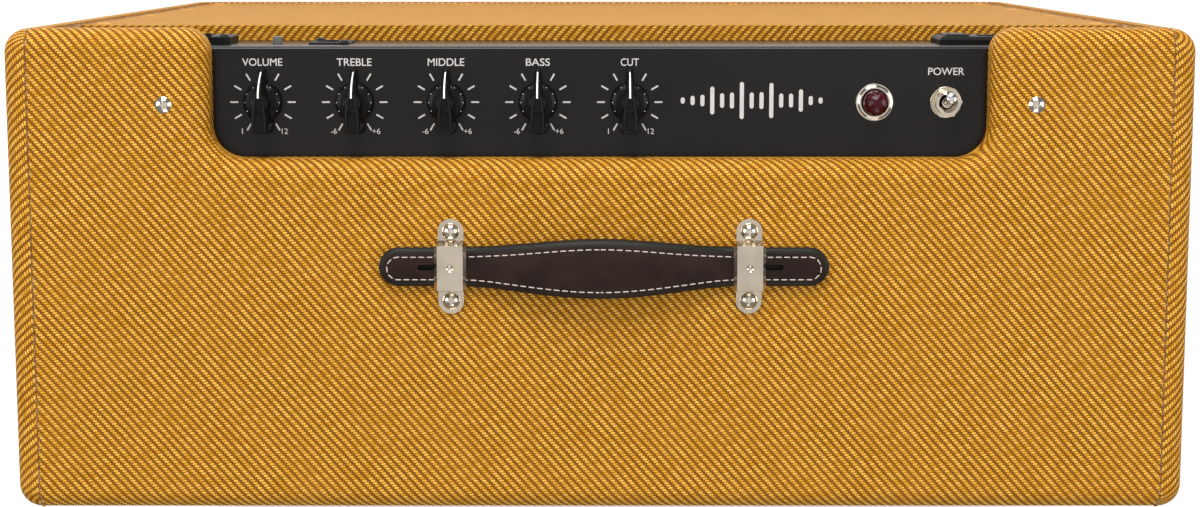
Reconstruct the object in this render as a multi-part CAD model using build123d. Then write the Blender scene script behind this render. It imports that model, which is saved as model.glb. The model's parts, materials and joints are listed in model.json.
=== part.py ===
from build123d import *
from math import atan, cos, radians, sin
import os

# Tweed-covered guitar amplifier with one 12 inch speaker and a horn.
# Millimetres. X is right seen from the front, Y is to the rear, Z is up.
# The origin is on the ground, in the middle of the cabinet's width and depth.

# Cabinet
WIDTH = 597.0
DEPTH_TOP = 245.0
DEPTH_BOTTOM = 262.0
BODY_HEIGHT = 471.0
FOOT_HEIGHT = 12.0
BOARD = 19.0
CLOTH = 0.8
CORNER_RADIUS = 12.0
EDGE_RADIUS = 10.0
SEAM_FROM_SIDE = 12.5

# Opening in the top board that shows the control panel
RECESS_HALF_WIDTH = 196.5
RECESS_FRONT_Y = 65.3
RECESS_INNER_CORNER = 16.0
RECESS_OUTER_CORNER = 12.0

# Chassis
SHEET = 1.5
CHASSIS_HALF_WIDTH = 277.5
CHASSIS_FRONT_Y = 50.0
CHASSIS_REAR_Y = 121.5
CHASSIS_HEIGHT = 64.0
CHASSIS_BOLT_X = 218.0
CONTROL_Y = 93.2
CONTROL_NAMES = ["volume", "treble", "middle", "bass", "cut"]
FIRST_KNOB_X = -171.1
KNOB_PITCH = 46.55
LAMP_X = 139.3
TOGGLE_X = 175.5

# Knobs and their shafts
SKIRT_RADIUS = 9.9
SKIRT_HEIGHT = 4.0
KNOB_GAP = 1.0
KNOB_HEIGHT = 15.0
POINTER_REACH = 16.2
TAIL_REACH = 15.5
HUB_HALF_WIDTH = 4.8
TAIL_HALF_WIDTH = 4.2
SHAFT_RADIUS = 3.0
BUSHING_RADIUS = 4.7
RUNNING_CLEARANCE = 0.05

# Toggle switch
TOGGLE_LEAN = 13.0
TOGGLE_PIVOT_HEIGHT = 4.0
TOGGLE_LENGTH = 15.5
TOGGLE_PIN_LENGTH = 4.4

# Connectors on the rear of the chassis
CONNECTOR_DROP = 34.0
JACK_X = -204.0
LINE_OUT_X = -139.7
BUTTON_X = -168.4
INLET_X = 200.0
MAINS_SOCKET_X = 209.0
FUSE_X = 185.0
JACK_BORE_RADIUS = 3.25
JACK_BORE_LENGTH = 31.0
JACK_FLANGE_WIDTH = 26.0
JACK_FLANGE_THICKNESS = 4.0
LINE_OUT_FLANGE_WIDTH = 21.6
LINE_OUT_FLANGE_THICKNESS = 1.0
FLANGE_HEIGHT = 31.0

# Carrying handle
HANDLE_Y = 12.0
STRAP_HALF_LENGTH = 112.5
STRAP_END_WIDTH = 20.0
STRAP_MIDDLE_WIDTH = 30.0
STRAP_LOW = 1.3
STRAP_END_TOP = 5.5
STRAP_MIDDLE_LOW = 6.5
STRAP_MIDDLE_TOP = 15.0
GRIP_HALF_LENGTH = 62.0
END_START = 64.0
CAP_X = 75.0
CAP_HALF_WIDTH = 6.45
CAP_LIP_REACH = 1.6
CAP_LIP_DROP = 2.0
CAP_TOP = 9.0
CAP_SHEET = 1.2
CAP_HALF_SPAN = 11.4
CAP_FOOT_Y = 13.25
CAP_END_Y = 24.1
CAP_SCREW_Y = 17.6

# Front and rear panels
BAFFLE_INSET = 14.0
BAFFLE_THICKNESS = 15.0
GRILLE_INSET = 8.0
GRILLE_RAIL = 22.0
GRILLE_BAR = 14.0
CLEAT = 19.0
BACK_REAR_Y = 129.6
BACK_THICKNESS = 9.4
BACK_TOP_Z = 398.0
BACK_HALF_WIDTH = 278.8
BACK_SCREW_RADIUS = 1.9
BACK_SCREW_LENGTH = 24.0

# Speaker, measured along its own axis from the rear face of the baffle
WOOFER_Z = 196.0
WOOFER_HOLE_RADIUS = 140.0
FRAME_RADIUS = 154.5
FRAME_SHEET = 2.2
FRAME_SCREW_CIRCLE = 150.3
FRAME_SCREWS = 8
COIL_RADIUS = 32.0
CONE_RADIUS = 128.0
HORN_Z = 405.0
HORN_WIDTH = 180.0
HORN_HEIGHT = 80.0
HORN_FLANGE_WIDTH = 204.0
HORN_FLANGE_HEIGHT = 92.0
HORN_DEPTH = 84.0
THROAT_RADIUS = 12.7
DRIVER_RADIUS = 44.0

# Lead from the chassis to the speaker
LEAD_X = 150.0
LEAD_Y = 62.0
LEAD_RADIUS = 2.5

# Feet
FOOT_X = 250.0
FOOT_Y = 95.0
FOOT_RADIUS = 19.0

# Worked out from the values above
TOP_Z = FOOT_HEIGHT + BODY_HEIGHT
PANEL_Z = TOP_Z - BOARD
FLOOR_Z = FOOT_HEIGHT + BOARD
HALF_WIDTH = WIDTH / 2
INNER_X = HALF_WIDTH - BOARD
REAR_Y = DEPTH_BOTTOM / 2
TILT = atan((DEPTH_BOTTOM - DEPTH_TOP) / BODY_HEIGHT)
CHASSIS_BOTTOM_Z = PANEL_Z - CHASSIS_HEIGHT
CONNECTOR_Z = PANEL_Z - CONNECTOR_DROP
KNOB_XS = [FIRST_KNOB_X + KNOB_PITCH * i for i in range(len(CONTROL_NAMES))]
SEAM_X = HALF_WIDTH - SEAM_FROM_SIDE
BEYOND = 400.0


# ---------------------------------------------------------------- helpers

def block(x0, x1, y0, y1, z0, z1):
    """Box between two opposite corners."""
    centre = Pos((x0 + x1) / 2, (y0 + y1) / 2, (z0 + z1) / 2)
    return centre * Box(x1 - x0, y1 - y0, z1 - z0)


def upright(radius, z0, z1, x=0.0, y=0.0):
    """Cylinder along Z."""
    return Pos(x, y, (z0 + z1) / 2) * Cylinder(radius, z1 - z0)


def lengthwise(radius, y0, y1, x=0.0, z=0.0):
    """Cylinder along Y."""
    return Pos(x, (y0 + y1) / 2, z) * Rot(-90, 0, 0) * Cylinder(radius, y1 - y0)


def hexagon(across_flats, z0, z1, x, y):
    """Hexagonal prism along Z."""
    outline = RegularPolygon(across_flats / 2, 6, major_radius=False)
    return Pos(x, y, z0) * extrude(outline, amount=z1 - z0)


def turned(points):
    """Solid of revolution about Z from (radius, height) points."""
    outline = Polyline(*[(radius, 0, height) for radius, height in points], close=True)
    return revolve(make_face(outline), axis=Axis.Z)


def front_y(z, inset=0.0):
    """Y of the tilted front plane at height z, moved into the cabinet by inset."""
    slope = (DEPTH_BOTTOM - DEPTH_TOP) / BODY_HEIGHT
    return -REAR_Y + slope * (z - FOOT_HEIGHT) + inset / cos(TILT)


def tilted_slab(inset0, inset1, x0, x1, z0, z1):
    """Slab parallel to the tilted front, between two depths behind it."""
    corners = [
        (x0, front_y(z0, inset0), z0),
        (x0, front_y(z0, inset1), z0),
        (x0, front_y(z1, inset1), z1),
        (x0, front_y(z1, inset0), z1),
    ]
    return extrude(make_face(Polyline(*corners, close=True)), amount=x1 - x0, dir=(1, 0, 0))


def speaker_frame(z, inset):
    """Place on the speaker axis: local Z points to the rear, square to the front."""
    rearward = (0, cos(TILT), -sin(TILT))
    origin = (0, front_y(z) + inset * cos(TILT), z - inset * sin(TILT))
    return Location(Plane(origin, x_dir=(1, 0, 0), z_dir=rearward))


def pan_screw(head_radius, head_height, shank_radius, length, cross=True):
    """Screw standing on z = 0 with a domed head above and its shank below."""
    dome_radius = (head_radius ** 2 + head_height ** 2) / (2 * head_height)
    dome = Pos(0, 0, head_height - dome_radius) * Sphere(dome_radius)
    head = dome & upright(head_radius, 0, head_height)
    screw = head + upright(shank_radius, -length, 0.2)
    if cross:
        slot = head_radius * 1.1
        width = head_radius * 0.24
        depth = head_height * 0.5
        screw -= Pos(0, 0, head_height) * Box(slot, width, depth)
        screw -= Pos(0, 0, head_height) * Box(width, slot, depth)
    return screw


# ---------------------------------------------------------------- cabinet and covering

def recess_cutter(grow):
    """Opening for the control panel, grown outwards into the board."""
    half = RECESS_HALF_WIDTH + grow
    front = RECESS_FRONT_Y - grow
    inner = RECESS_INNER_CORNER - grow
    outer = RECESS_OUTER_CORNER + grow
    rear = REAR_Y - grow
    opening = block(-half, half, front, REAR_Y + 20, PANEL_Z - 5, TOP_Z + 5)
    corners = opening.edges().filter_by(Axis.Z).group_by(Axis.Y)[0]
    opening = fillet(corners, inner)
    for side in (-1, 1):
        xs = sorted((side * (half - 1), side * (half + outer)))
        flare = block(xs[0], xs[1], rear - outer, REAR_Y + 20, PANEL_Z - 5, TOP_Z + 5)
        flare -= upright(outer, PANEL_Z - 6, TOP_Z + 6, side * (half + outer), rear - outer)
        opening += flare
    return opening


def cabinet_body(inset):
    """Rounded wedge of the cabinet's outside, moved inwards, hollow and with the control opening."""
    low = FOOT_HEIGHT + inset
    high = TOP_Z - inset
    rear = REAR_Y - inset
    profile = Polyline(
        (0, front_y(low, inset), low),
        (0, rear, low),
        (0, rear, high),
        (0, front_y(high, inset), high),
        close=True,
    )
    body = extrude(make_face(profile), amount=HALF_WIDTH - inset, both=True)
    middle = (low + high) / 2
    corners = [edge for edge in body.edges() if abs(edge.center().Z - middle) < 1]
    body = fillet(corners, CORNER_RADIUS - inset)
    body -= recess_cutter(inset)
    body -= block(-INNER_X, INNER_X, -BEYOND, BEYOND, FLOOR_Z, PANEL_Z)
    top_rim = body.faces().sort_by(Axis.Z)[-1].outer_wire().edges()
    body = fillet(top_rim, EDGE_RADIUS - inset)
    bottom_rim = body.faces().sort_by(Axis.Z)[0].outer_wire().edges()
    return fillet(bottom_rim, EDGE_RADIUS - inset)


def cabinet_parts():
    """Four boards and the cloth glued over them."""
    outside = cabinet_body(0.0)
    core = cabinet_body(CLOTH)
    top_zone = block(-INNER_X, INNER_X, -BEYOND, BEYOND, PANEL_Z, TOP_Z + 1)
    bottom_zone = block(-INNER_X, INNER_X, -BEYOND, BEYOND, 0, FLOOR_Z)
    left_zone = block(-BEYOND, -INNER_X, -BEYOND, BEYOND, 0, BEYOND * 2)
    right_zone = block(INNER_X, BEYOND, -BEYOND, BEYOND, 0, BEYOND * 2)
    bolt_holes = [
        upright(2.6, PANEL_Z - 1, TOP_Z + 1, side * CHASSIS_BOLT_X, CONTROL_Y) for side in (-1, 1)
    ]
    cap_holes = [
        upright(1.5, PANEL_Z, TOP_Z + 1, side * CAP_X, HANDLE_Y + end * CAP_SCREW_Y)
        for side in (-1, 1)
        for end in (-1, 1)
    ]
    top_holes = bolt_holes + cap_holes
    foot_holes = [upright(2.0, 0, FLOOR_Z - 2, x, y) for x, y in foot_places()]
    skin = outside - core
    upper = block(-SEAM_X, SEAM_X, -BEYOND, BEYOND, PANEL_Z, TOP_Z + 1)
    lower = block(-SEAM_X, SEAM_X, -BEYOND, BEYOND, 0, FLOOR_Z)
    sides = skin - upper - lower
    return {
        "cabinet_top": (core & top_zone) - top_holes,
        "cabinet_bottom": (core & bottom_zone) - foot_holes,
        "cabinet_side_left": core & left_zone,
        "cabinet_side_right": core & right_zone,
        "tweed_top": (skin & upper) - top_holes,
        "tweed_bottom": (skin & lower) - foot_holes,
        "tweed_left": sides & left_zone,
        "tweed_right": sides & right_zone,
    }


def cleats():
    """Wooden strips that the baffle and the back panel are screwed to."""
    behind_baffle = BAFFLE_INSET + BAFFLE_THICKNESS
    back_front_y = BACK_REAR_Y - BACK_THICKNESS
    strips = []
    for side in (-1, 1):
        x0, x1 = sorted((side * (INNER_X - CLEAT), side * INNER_X))
        strips.append(tilted_slab(behind_baffle, behind_baffle + CLEAT, x0, x1, FLOOR_Z, PANEL_Z))
        strips.append(block(x0, x1, back_front_y - CLEAT, back_front_y, FLOOR_Z, BACK_TOP_Z - 2))
    across = INNER_X - CLEAT
    strips.append(block(-across, across, back_front_y - CLEAT, back_front_y, FLOOR_Z, FLOOR_Z + CLEAT))
    return Compound(children=[strip - back_screw_holes() for strip in strips])


def baffle_board():
    """Tilted board that carries the woofer and the horn."""
    rear = BAFFLE_INSET + BAFFLE_THICKNESS
    edge = INNER_X - 0.3
    board = tilted_slab(BAFFLE_INSET, rear, -edge, edge, FLOOR_Z + 0.2, PANEL_Z - 0.2)
    board -= speaker_frame(WOOFER_Z, BAFFLE_INSET) * Cylinder(WOOFER_HOLE_RADIUS, 60)
    board -= speaker_frame(HORN_Z, BAFFLE_INSET) * Box(HORN_WIDTH + 2, HORN_HEIGHT + 2, 60)
    return board - [on_woofer_axis(hole) for hole in woofer_screw_holes()]


def grille_frame():
    """Thin plywood rails that the grille cloth is stretched over."""
    edge = INNER_X - 1.5
    low = FLOOR_Z + 1.5
    high = PANEL_Z - 1.5
    horn_half = HORN_FLANGE_HEIGHT / 2 + 2
    frame = tilted_slab(GRILLE_INSET, BAFFLE_INSET, -edge, edge, low, high)
    woofer_window = (low + GRILLE_RAIL, HORN_Z - horn_half - GRILLE_BAR)
    horn_window = (HORN_Z - horn_half, HORN_Z + horn_half)
    for z0, z1 in (woofer_window, horn_window):
        frame -= tilted_slab(0, 60, GRILLE_RAIL - edge, edge - GRILLE_RAIL, z0, z1)
    return frame


def grille_cloth():
    """Woven cloth over the front of the grille frame."""
    edge = INNER_X - 0.7
    return tilted_slab(GRILLE_INSET - CLOTH, GRILLE_INSET, -edge, edge, FLOOR_Z + 0.7, PANEL_Z - 0.7)


def back_panel():
    """Lower back of the cabinet, below the chassis."""
    rear = BACK_REAR_Y - CLOTH
    half = BACK_HALF_WIDTH - CLOTH
    board = block(-half, half, BACK_REAR_Y - BACK_THICKNESS, rear, FLOOR_Z + CLOTH, BACK_TOP_Z - CLOTH)
    return board - back_screw_holes()


def tweed_back():
    """Cloth over the rear face and the edges of the back panel."""
    front = BACK_REAR_Y - BACK_THICKNESS
    half = BACK_HALF_WIDTH
    wrap = block(-half, half, front, BACK_REAR_Y, FLOOR_Z + 0.2, BACK_TOP_Z)
    wrap = fillet(wrap.faces().sort_by(Axis.Y)[-1].edges(), 0.75)
    inner = half - CLOTH
    wrap -= block(-inner, inner, front - 1, BACK_REAR_Y - CLOTH, FLOOR_Z + CLOTH, BACK_TOP_Z - CLOTH)
    return wrap - back_screw_holes()


def back_screw_places():
    """X and Z of the ten screws of the back panel."""
    edge_x = INNER_X - CLEAT / 2
    low_z = FLOOR_Z + CLEAT / 2
    high_z = BACK_TOP_Z - 14
    heights = [low_z + (high_z - low_z) * i / 3 for i in range(4)]
    places = [(side * edge_x, z) for z in heights for side in (-1, 1)]
    return places + [(-95.0, low_z), (95.0, low_z)]


def back_screw_holes():
    """Holes for the screws of the back panel."""
    near = BACK_REAR_Y - BACK_SCREW_LENGTH
    return [lengthwise(BACK_SCREW_RADIUS, near, BACK_REAR_Y + 1, x, z) for x, z in back_screw_places()]


def cabinet_screws():
    """Screws of the back panel, and the screws that hold the feet."""
    head = pan_screw(4.2, 1.1, BACK_SCREW_RADIUS, BACK_SCREW_LENGTH)
    screws = [Pos(x, BACK_REAR_Y, z) * Rot(-90, 0, 0) * head for x, z in back_screw_places()]
    foot_head = pan_screw(4.5, 2.2, 1.95, 20)
    for x, y in foot_places():
        screws.append(Pos(x, y, FOOT_HEIGHT - 5) * Rot(180, 0, 0) * foot_head)
    return Compound(children=screws)


def foot_places():
    """X and Y of the four feet."""
    return [(side * FOOT_X, end * FOOT_Y) for side in (-1, 1) for end in (-1, 1)]


def rubber_feet():
    """Four tapered rubber feet with a pocket for the screw head."""
    foot = turned([
        (2.1, FOOT_HEIGHT), (2.1, FOOT_HEIGHT - 5), (7, FOOT_HEIGHT - 5), (7, 0),
        (FOOT_RADIUS - 3.5, 0), (FOOT_RADIUS - 2, 1.5), (FOOT_RADIUS, FOOT_HEIGHT),
    ])
    return Compound(children=[Pos(x, y, 0) * foot for x, y in foot_places()])


# ---------------------------------------------------------------- carrying handle

def strap_outline(half_length, end_width, middle_width):
    """Plan of the strap between its caps: straight ends swelling into a wide middle."""
    shoulder = half_length * 0.72
    end = end_width / 2
    middle = middle_width / 2
    points = [
        (-half_length, end), (-shoulder, end + 0.8), (0, middle), (shoulder, end + 0.8), (half_length, end),
    ]
    upper = Spline(*points)
    lower = Spline(*[(x, -y) for x, y in points])
    left = Line((-half_length, end), (-half_length, -end))
    right = Line((half_length, end), (half_length, -end))
    return make_face(Curve() + [upper, lower, left, right])


def handle_grip():
    """Arched middle of the strap, which is lifted by the hand."""
    half = GRIP_HALF_LENGTH
    low = ThreePointArc((-half, 0, STRAP_LOW), (0, 0, STRAP_MIDDLE_LOW), (half, 0, STRAP_LOW))
    top = ThreePointArc((-half, 0, STRAP_END_TOP), (0, 0, STRAP_MIDDLE_TOP), (half, 0, STRAP_END_TOP))
    left = Line((-half, 0, STRAP_LOW), (-half, 0, STRAP_END_TOP))
    right = Line((half, 0, STRAP_LOW), (half, 0, STRAP_END_TOP))
    arch = extrude(make_face(Curve() + [low, top, left, right]), amount=30, both=True)
    plan = extrude(strap_outline(half, STRAP_END_WIDTH, STRAP_MIDDLE_WIDTH), amount=30)
    grip = arch & plan
    return Pos(0, HANDLE_Y, TOP_Z) * grip


def handle_end(side):
    """Flat end of the strap, which slides under its cap and is slotted for the cap's pin."""
    radius = STRAP_END_WIDTH / 2
    end = block(END_START, STRAP_HALF_LENGTH - radius, -radius, radius, STRAP_LOW, STRAP_END_TOP)
    end += upright(radius, STRAP_LOW, STRAP_END_TOP, STRAP_HALF_LENGTH - radius)
    slot = block(73.0, 90.0, -1.45, 1.45, 0, 10)
    slot += upright(1.45, 0, 10, 73.0)
    slot += upright(1.45, 0, 10, 90.0)
    end -= slot
    if side < 0:
        end = Rot(0, 0, 180) * end
    return Pos(0, HANDLE_Y, TOP_Z) * end


def handle_cap(side):
    """Bent metal loop that holds one end of the strap to the top."""
    run = (CAP_FOOT_Y - CAP_HALF_SPAN) / (CAP_TOP - CAP_SHEET)
    skew = CAP_SHEET * 1.1
    outer = [
        (0, CAP_END_Y, 0), (0, CAP_END_Y, CAP_SHEET), (0, CAP_FOOT_Y, CAP_SHEET),
        (0, CAP_HALF_SPAN, CAP_TOP), (0, -CAP_HALF_SPAN, CAP_TOP),
        (0, -CAP_FOOT_Y, CAP_SHEET), (0, -CAP_END_Y, CAP_SHEET), (0, -CAP_END_Y, 0),
    ]
    foot = CAP_FOOT_Y + run * CAP_SHEET - skew
    crown = CAP_HALF_SPAN + run * CAP_SHEET - skew
    under = CAP_TOP - CAP_SHEET
    inner = [(0, -foot, 0), (0, -crown, under), (0, crown, under), (0, foot, 0)]
    section = make_face(Polyline(*outer, *inner, close=True))
    cap = extrude(section, amount=CAP_HALF_WIDTH, both=True)
    half = CAP_HALF_WIDTH
    for end in (-1, 1):
        tab = block(-half - 1, half + 1, CAP_END_Y - half, CAP_END_Y + 1, -1, CAP_SHEET + 1)
        trim = tab - upright(half, -2, CAP_SHEET + 2, 0, CAP_END_Y - half)
        if end < 0:
            trim = Rot(0, 0, 180) * trim
        cap -= trim
        cap -= upright(2.2, -1, CAP_SHEET + 1, 0, end * CAP_SCREW_Y)
    for lip_side in (-1, 1):
        lip = [
            (lip_side * half, 0, CAP_TOP),
            (lip_side * (half + CAP_LIP_REACH), 0, CAP_TOP - CAP_LIP_DROP),
            (lip_side * (half + CAP_LIP_REACH - 0.9), 0, CAP_TOP - CAP_LIP_DROP - 0.6),
            (lip_side * (half - 0.6), 0, under),
        ]
        cap += extrude(make_face(Polyline(*lip, close=True)), amount=CAP_HALF_SPAN - 0.5, both=True)
    cap += upright(1.2, 2.0, under + 0.4)
    cap -= Pos(0, 0, CAP_TOP + 1.6) * Sphere(2.4)
    return Pos(side * CAP_X, HANDLE_Y, TOP_Z) * cap


def top_screws():
    """Domed screws on the top: four that hold the handle's caps and two that hold the chassis."""
    cap_screw = pan_screw(4.3, 2.6, 1.45, 16)
    bolt = pan_screw(4.15, 1.7, 2.4, BOARD + 7)
    screws = []
    for side in (-1, 1):
        screws.append(Pos(side * CHASSIS_BOLT_X, CONTROL_Y, TOP_Z) * bolt)
        for end in (-1, 1):
            place = Pos(side * CAP_X, HANDLE_Y + end * CAP_SCREW_Y, TOP_Z + CAP_SHEET)
            screws.append(place * cap_screw)
    return Compound(children=screws)


# ---------------------------------------------------------------- chassis and controls

def chassis_shell():
    """Folded sheet-metal tray, open below, with its panel on top and connectors behind."""
    half = CHASSIS_HALF_WIDTH
    shell = block(-half, half, CHASSIS_FRONT_Y, CHASSIS_REAR_Y, CHASSIS_BOTTOM_Z, PANEL_Z)
    shell = fillet(shell.edges().filter_by(Axis.X).group_by(Axis.Z)[-1], 2.0)
    inside = block(
        SHEET - half, half - SHEET, CHASSIS_FRONT_Y + SHEET, CHASSIS_REAR_Y - SHEET,
        CHASSIS_BOTTOM_Z - 1, PANEL_Z - SHEET,
    )
    shell -= inside
    low = PANEL_Z - 5
    high = PANEL_Z + 1
    holes = [upright(BUSHING_RADIUS + 0.2, low, high, x, CONTROL_Y) for x in KNOB_XS]
    for x, radius in ((LAMP_X, 8.2), (TOGGLE_X, 6.1), (CHASSIS_BOLT_X, 2.7), (-CHASSIS_BOLT_X, 2.7)):
        holes.append(upright(radius, low, high, x, CONTROL_Y))
    near = CHASSIS_REAR_Y - 5
    far = CHASSIS_REAR_Y + 1
    for x, radius in ((JACK_X, 12.0), (LINE_OUT_X, 11.2), (BUTTON_X, 2.9)):
        holes.append(lengthwise(radius, near, far, x, CONNECTOR_Z))
    holes.append(block(INLET_X - 23.2, INLET_X + 23.2, near, far, CONNECTOR_Z - 13.2, CONNECTOR_Z + 13.2))
    for x, z in connector_screw_places():
        holes.append(lengthwise(1.5, near, far, x, z))
    return shell - holes - latch_space(0.4)


def chassis_cover():
    """Flat plate that closes the chassis from below."""
    half = CHASSIS_HALF_WIDTH
    rear = BACK_REAR_Y - BACK_THICKNESS - 0.4
    low = CHASSIS_BOTTOM_Z - 3
    high = CHASSIS_BOTTOM_Z + 1
    plate = block(-half, half, CHASSIS_FRONT_Y, rear, CHASSIS_BOTTOM_Z - SHEET, CHASSIS_BOTTOM_Z)
    vents = [
        block(x - 1.5, x + 1.5, CHASSIS_FRONT_Y + 15, CHASSIS_REAR_Y - 20, low, high)
        for x in range(-60, 61, 12)
    ]
    lead_hole = upright(4.0, low, high, LEAD_X, LEAD_Y)
    return plate - vents - lead_hole


def panel_nuts():
    """Hexagonal nuts on the controls' bushings, on the toggle switch and on the chassis bolts."""
    nuts = []
    for x in KNOB_XS:
        nut = hexagon(12.0, PANEL_Z, PANEL_Z + 2.2, x, CONTROL_Y)
        nuts.append(nut - upright(BUSHING_RADIUS, 0, BEYOND * 2, x, CONTROL_Y))
    washer = upright(8.0, PANEL_Z, PANEL_Z + 1.0, TOGGLE_X, CONTROL_Y)
    toggle_nut = hexagon(14.0, PANEL_Z + 1.0, PANEL_Z + 3.6, TOGGLE_X, CONTROL_Y)
    for piece in (washer, toggle_nut):
        nuts.append(piece - upright(5.9, 0, BEYOND * 2, TOGGLE_X, CONTROL_Y))
    for side in (-1, 1):
        nut = hexagon(8.0, PANEL_Z - SHEET - 4, PANEL_Z - SHEET, side * CHASSIS_BOLT_X, CONTROL_Y)
        nuts.append(nut - upright(2.4, 0, BEYOND * 2, side * CHASSIS_BOLT_X, CONTROL_Y))
    return Compound(children=nuts)


def potentiometers():
    """Five rotary controls hanging under the panel."""
    pots = []
    under = PANEL_Z - SHEET
    for x in KNOB_XS:
        pot = upright(8.5, under - 9.5, under, x, CONTROL_Y)
        pot += upright(BUSHING_RADIUS, under - 1, PANEL_Z + 3.4, x, CONTROL_Y)
        pot += block(x - 7, x + 7, CONTROL_Y + 7, CONTROL_Y + 13, under - 7, under - 5)
        pot -= upright(SHAFT_RADIUS + RUNNING_CLEARANCE, under - 7, PANEL_Z + 5, x, CONTROL_Y)
        pots.append(pot)
    return Compound(children=pots)


def knob(x):
    """Pointer knob with the control's shaft pressed into it."""
    base = PANEL_Z + KNOB_GAP
    outline = make_face(
        Curve()
        + [
            Line((0.7, POINTER_REACH), (-0.7, POINTER_REACH)),
            Line((-0.7, POINTER_REACH), (-HUB_HALF_WIDTH, 1.0)),
            Line((-HUB_HALF_WIDTH, 1.0), (-TAIL_HALF_WIDTH, 2.0 - TAIL_REACH)),
            ThreePointArc(
                (-TAIL_HALF_WIDTH, 2.0 - TAIL_REACH), (0, -TAIL_REACH), (TAIL_HALF_WIDTH, 2.0 - TAIL_REACH)
            ),
            Line((TAIL_HALF_WIDTH, 2.0 - TAIL_REACH), (HUB_HALF_WIDTH, 1.0)),
            Line((HUB_HALF_WIDTH, 1.0), (0.7, POINTER_REACH)),
        ]
    )
    body = extrude(outline, amount=KNOB_HEIGHT - SKIRT_HEIGHT * 0.5, taper=2.0)
    body = Pos(0, 0, SKIRT_HEIGHT * 0.5) * body
    skirt = Pos(0, 0, SKIRT_HEIGHT / 2) * Cone(SKIRT_RADIUS, SKIRT_RADIUS - 1.4, SKIRT_HEIGHT)
    shell = body + skirt
    shell -= upright(7.4, -1, 3.2)
    shell -= upright(SHAFT_RADIUS, -1, 12.0)
    shaft = upright(SHAFT_RADIUS, -KNOB_GAP - SHEET - 6.5, 12.0)
    return Compound(children=[Pos(x, CONTROL_Y, base) * shell, Pos(x, CONTROL_Y, base) * shaft])


def lamp_bezel():
    """Stepped chrome ring of the pilot lamp with its threaded tube through the panel."""
    ring = turned([
        (6.7, -14), (8.0, -14), (8.0, 0), (9.65, 0), (9.65, 1.4), (8.8, 2.6), (8.4, 5.0),
        (7.7, 6.4), (6.9, 6.8), (6.7, 6.4),
    ])
    return Pos(LAMP_X, CONTROL_Y, PANEL_Z) * ring


def lamp_jewel():
    """Faceted red glass dome in the bezel."""
    centre_z = 4.4
    dome = Pos(0, 0, centre_z) * Sphere(8.3)
    jewel = dome & upright(6.5, centre_z + 0.6, centre_z + 12)
    facets = 8
    tilt_angle = 50.0
    for i in range(facets):
        cut = Pos(0, 0, centre_z) * Rot(0, 0, i * 360 / facets) * Rot(0, tilt_angle, 0) * Pos(0, 0, 12.7)
        jewel -= cut * Box(20, 20, 10)
    return Pos(LAMP_X, CONTROL_Y, PANEL_Z) * jewel


def lamp_socket():
    """Lamp holder inside the bezel's tube, with the bulb standing in it."""
    holder = upright(6.4, -24, -6) + Pos(0, 0, -3) * Sphere(2.9) + upright(2.9, -7, -3)
    return Pos(LAMP_X, CONTROL_Y, PANEL_Z) * holder


def toggle_body():
    """Toggle switch case under the panel with its threaded bushing."""
    under = -SHEET
    case = block(-6.5, 6.5, -10, 10, under - 13, under)
    case += upright(5.9, under - 1, 8.5)
    for y in (-7, 0, 7):
        case += block(-2.5, 2.5, y - 0.4, y + 0.4, under - 18, under - 13)
    mouth = turned([(0, 1.0), (2.6, 1.0), (2.6, TOGGLE_PIVOT_HEIGHT + 1.0), (4.9, 8.6), (0, 8.6)])
    return Pos(TOGGLE_X, CONTROL_Y, PANEL_Z) * (case - mouth)


def toggle_lever():
    """Bat-shaped lever on its pivot pin, leaning to the rear."""
    bat = turned([
        (0, -2.2), (1.3, -1.8), (1.3, 3.5), (2.0, 9.0), (2.9, 12.5), (2.7, 14.6),
        (1.4, TOGGLE_LENGTH), (0, TOGGLE_LENGTH),
    ])
    bat += Rot(0, 90, 0) * Cylinder(0.9, TOGGLE_PIN_LENGTH)
    return Pos(TOGGLE_X, CONTROL_Y, PANEL_Z + TOGGLE_PIVOT_HEIGHT) * Rot(-TOGGLE_LEAN, 0, 0) * bat


# ---------------------------------------------------------------- rear connectors

def connector_screw_places():
    """X and Z of the flange screws of the two audio connectors."""
    places = []
    for centre, reach in ((JACK_X, 10.0), (LINE_OUT_X, 7.5)):
        places.append((centre - reach, CONNECTOR_Z - 12.0))
        places.append((centre + reach, CONNECTOR_Z + 12.0))
    return places


def connector_flange(x, width, thickness):
    """Rounded mounting plate on the rear face of the chassis."""
    plate = block(
        x - width / 2, x + width / 2, CHASSIS_REAR_Y, CHASSIS_REAR_Y + thickness,
        CONNECTOR_Z - FLANGE_HEIGHT / 2, CONNECTOR_Z + FLANGE_HEIGHT / 2,
    )
    plate = fillet(plate.edges().filter_by(Axis.Y), 2.5)
    return chamfer(plate.faces().sort_by(Axis.Y)[-1].edges(), 0.5)


def connector_screws():
    """Flange screws of the combination jack and the line output."""
    screw = pan_screw(3.0, 1.5, 1.45, 9)
    screws = []
    for x, z in connector_screw_places():
        near_jack = abs(x - JACK_X) < JACK_FLANGE_WIDTH / 2
        thickness = JACK_FLANGE_THICKNESS if near_jack else LINE_OUT_FLANGE_THICKNESS
        screws.append(Pos(x, CHASSIS_REAR_Y + thickness, z) * Rot(-90, 0, 0) * screw)
    return Compound(children=screws)


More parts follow.
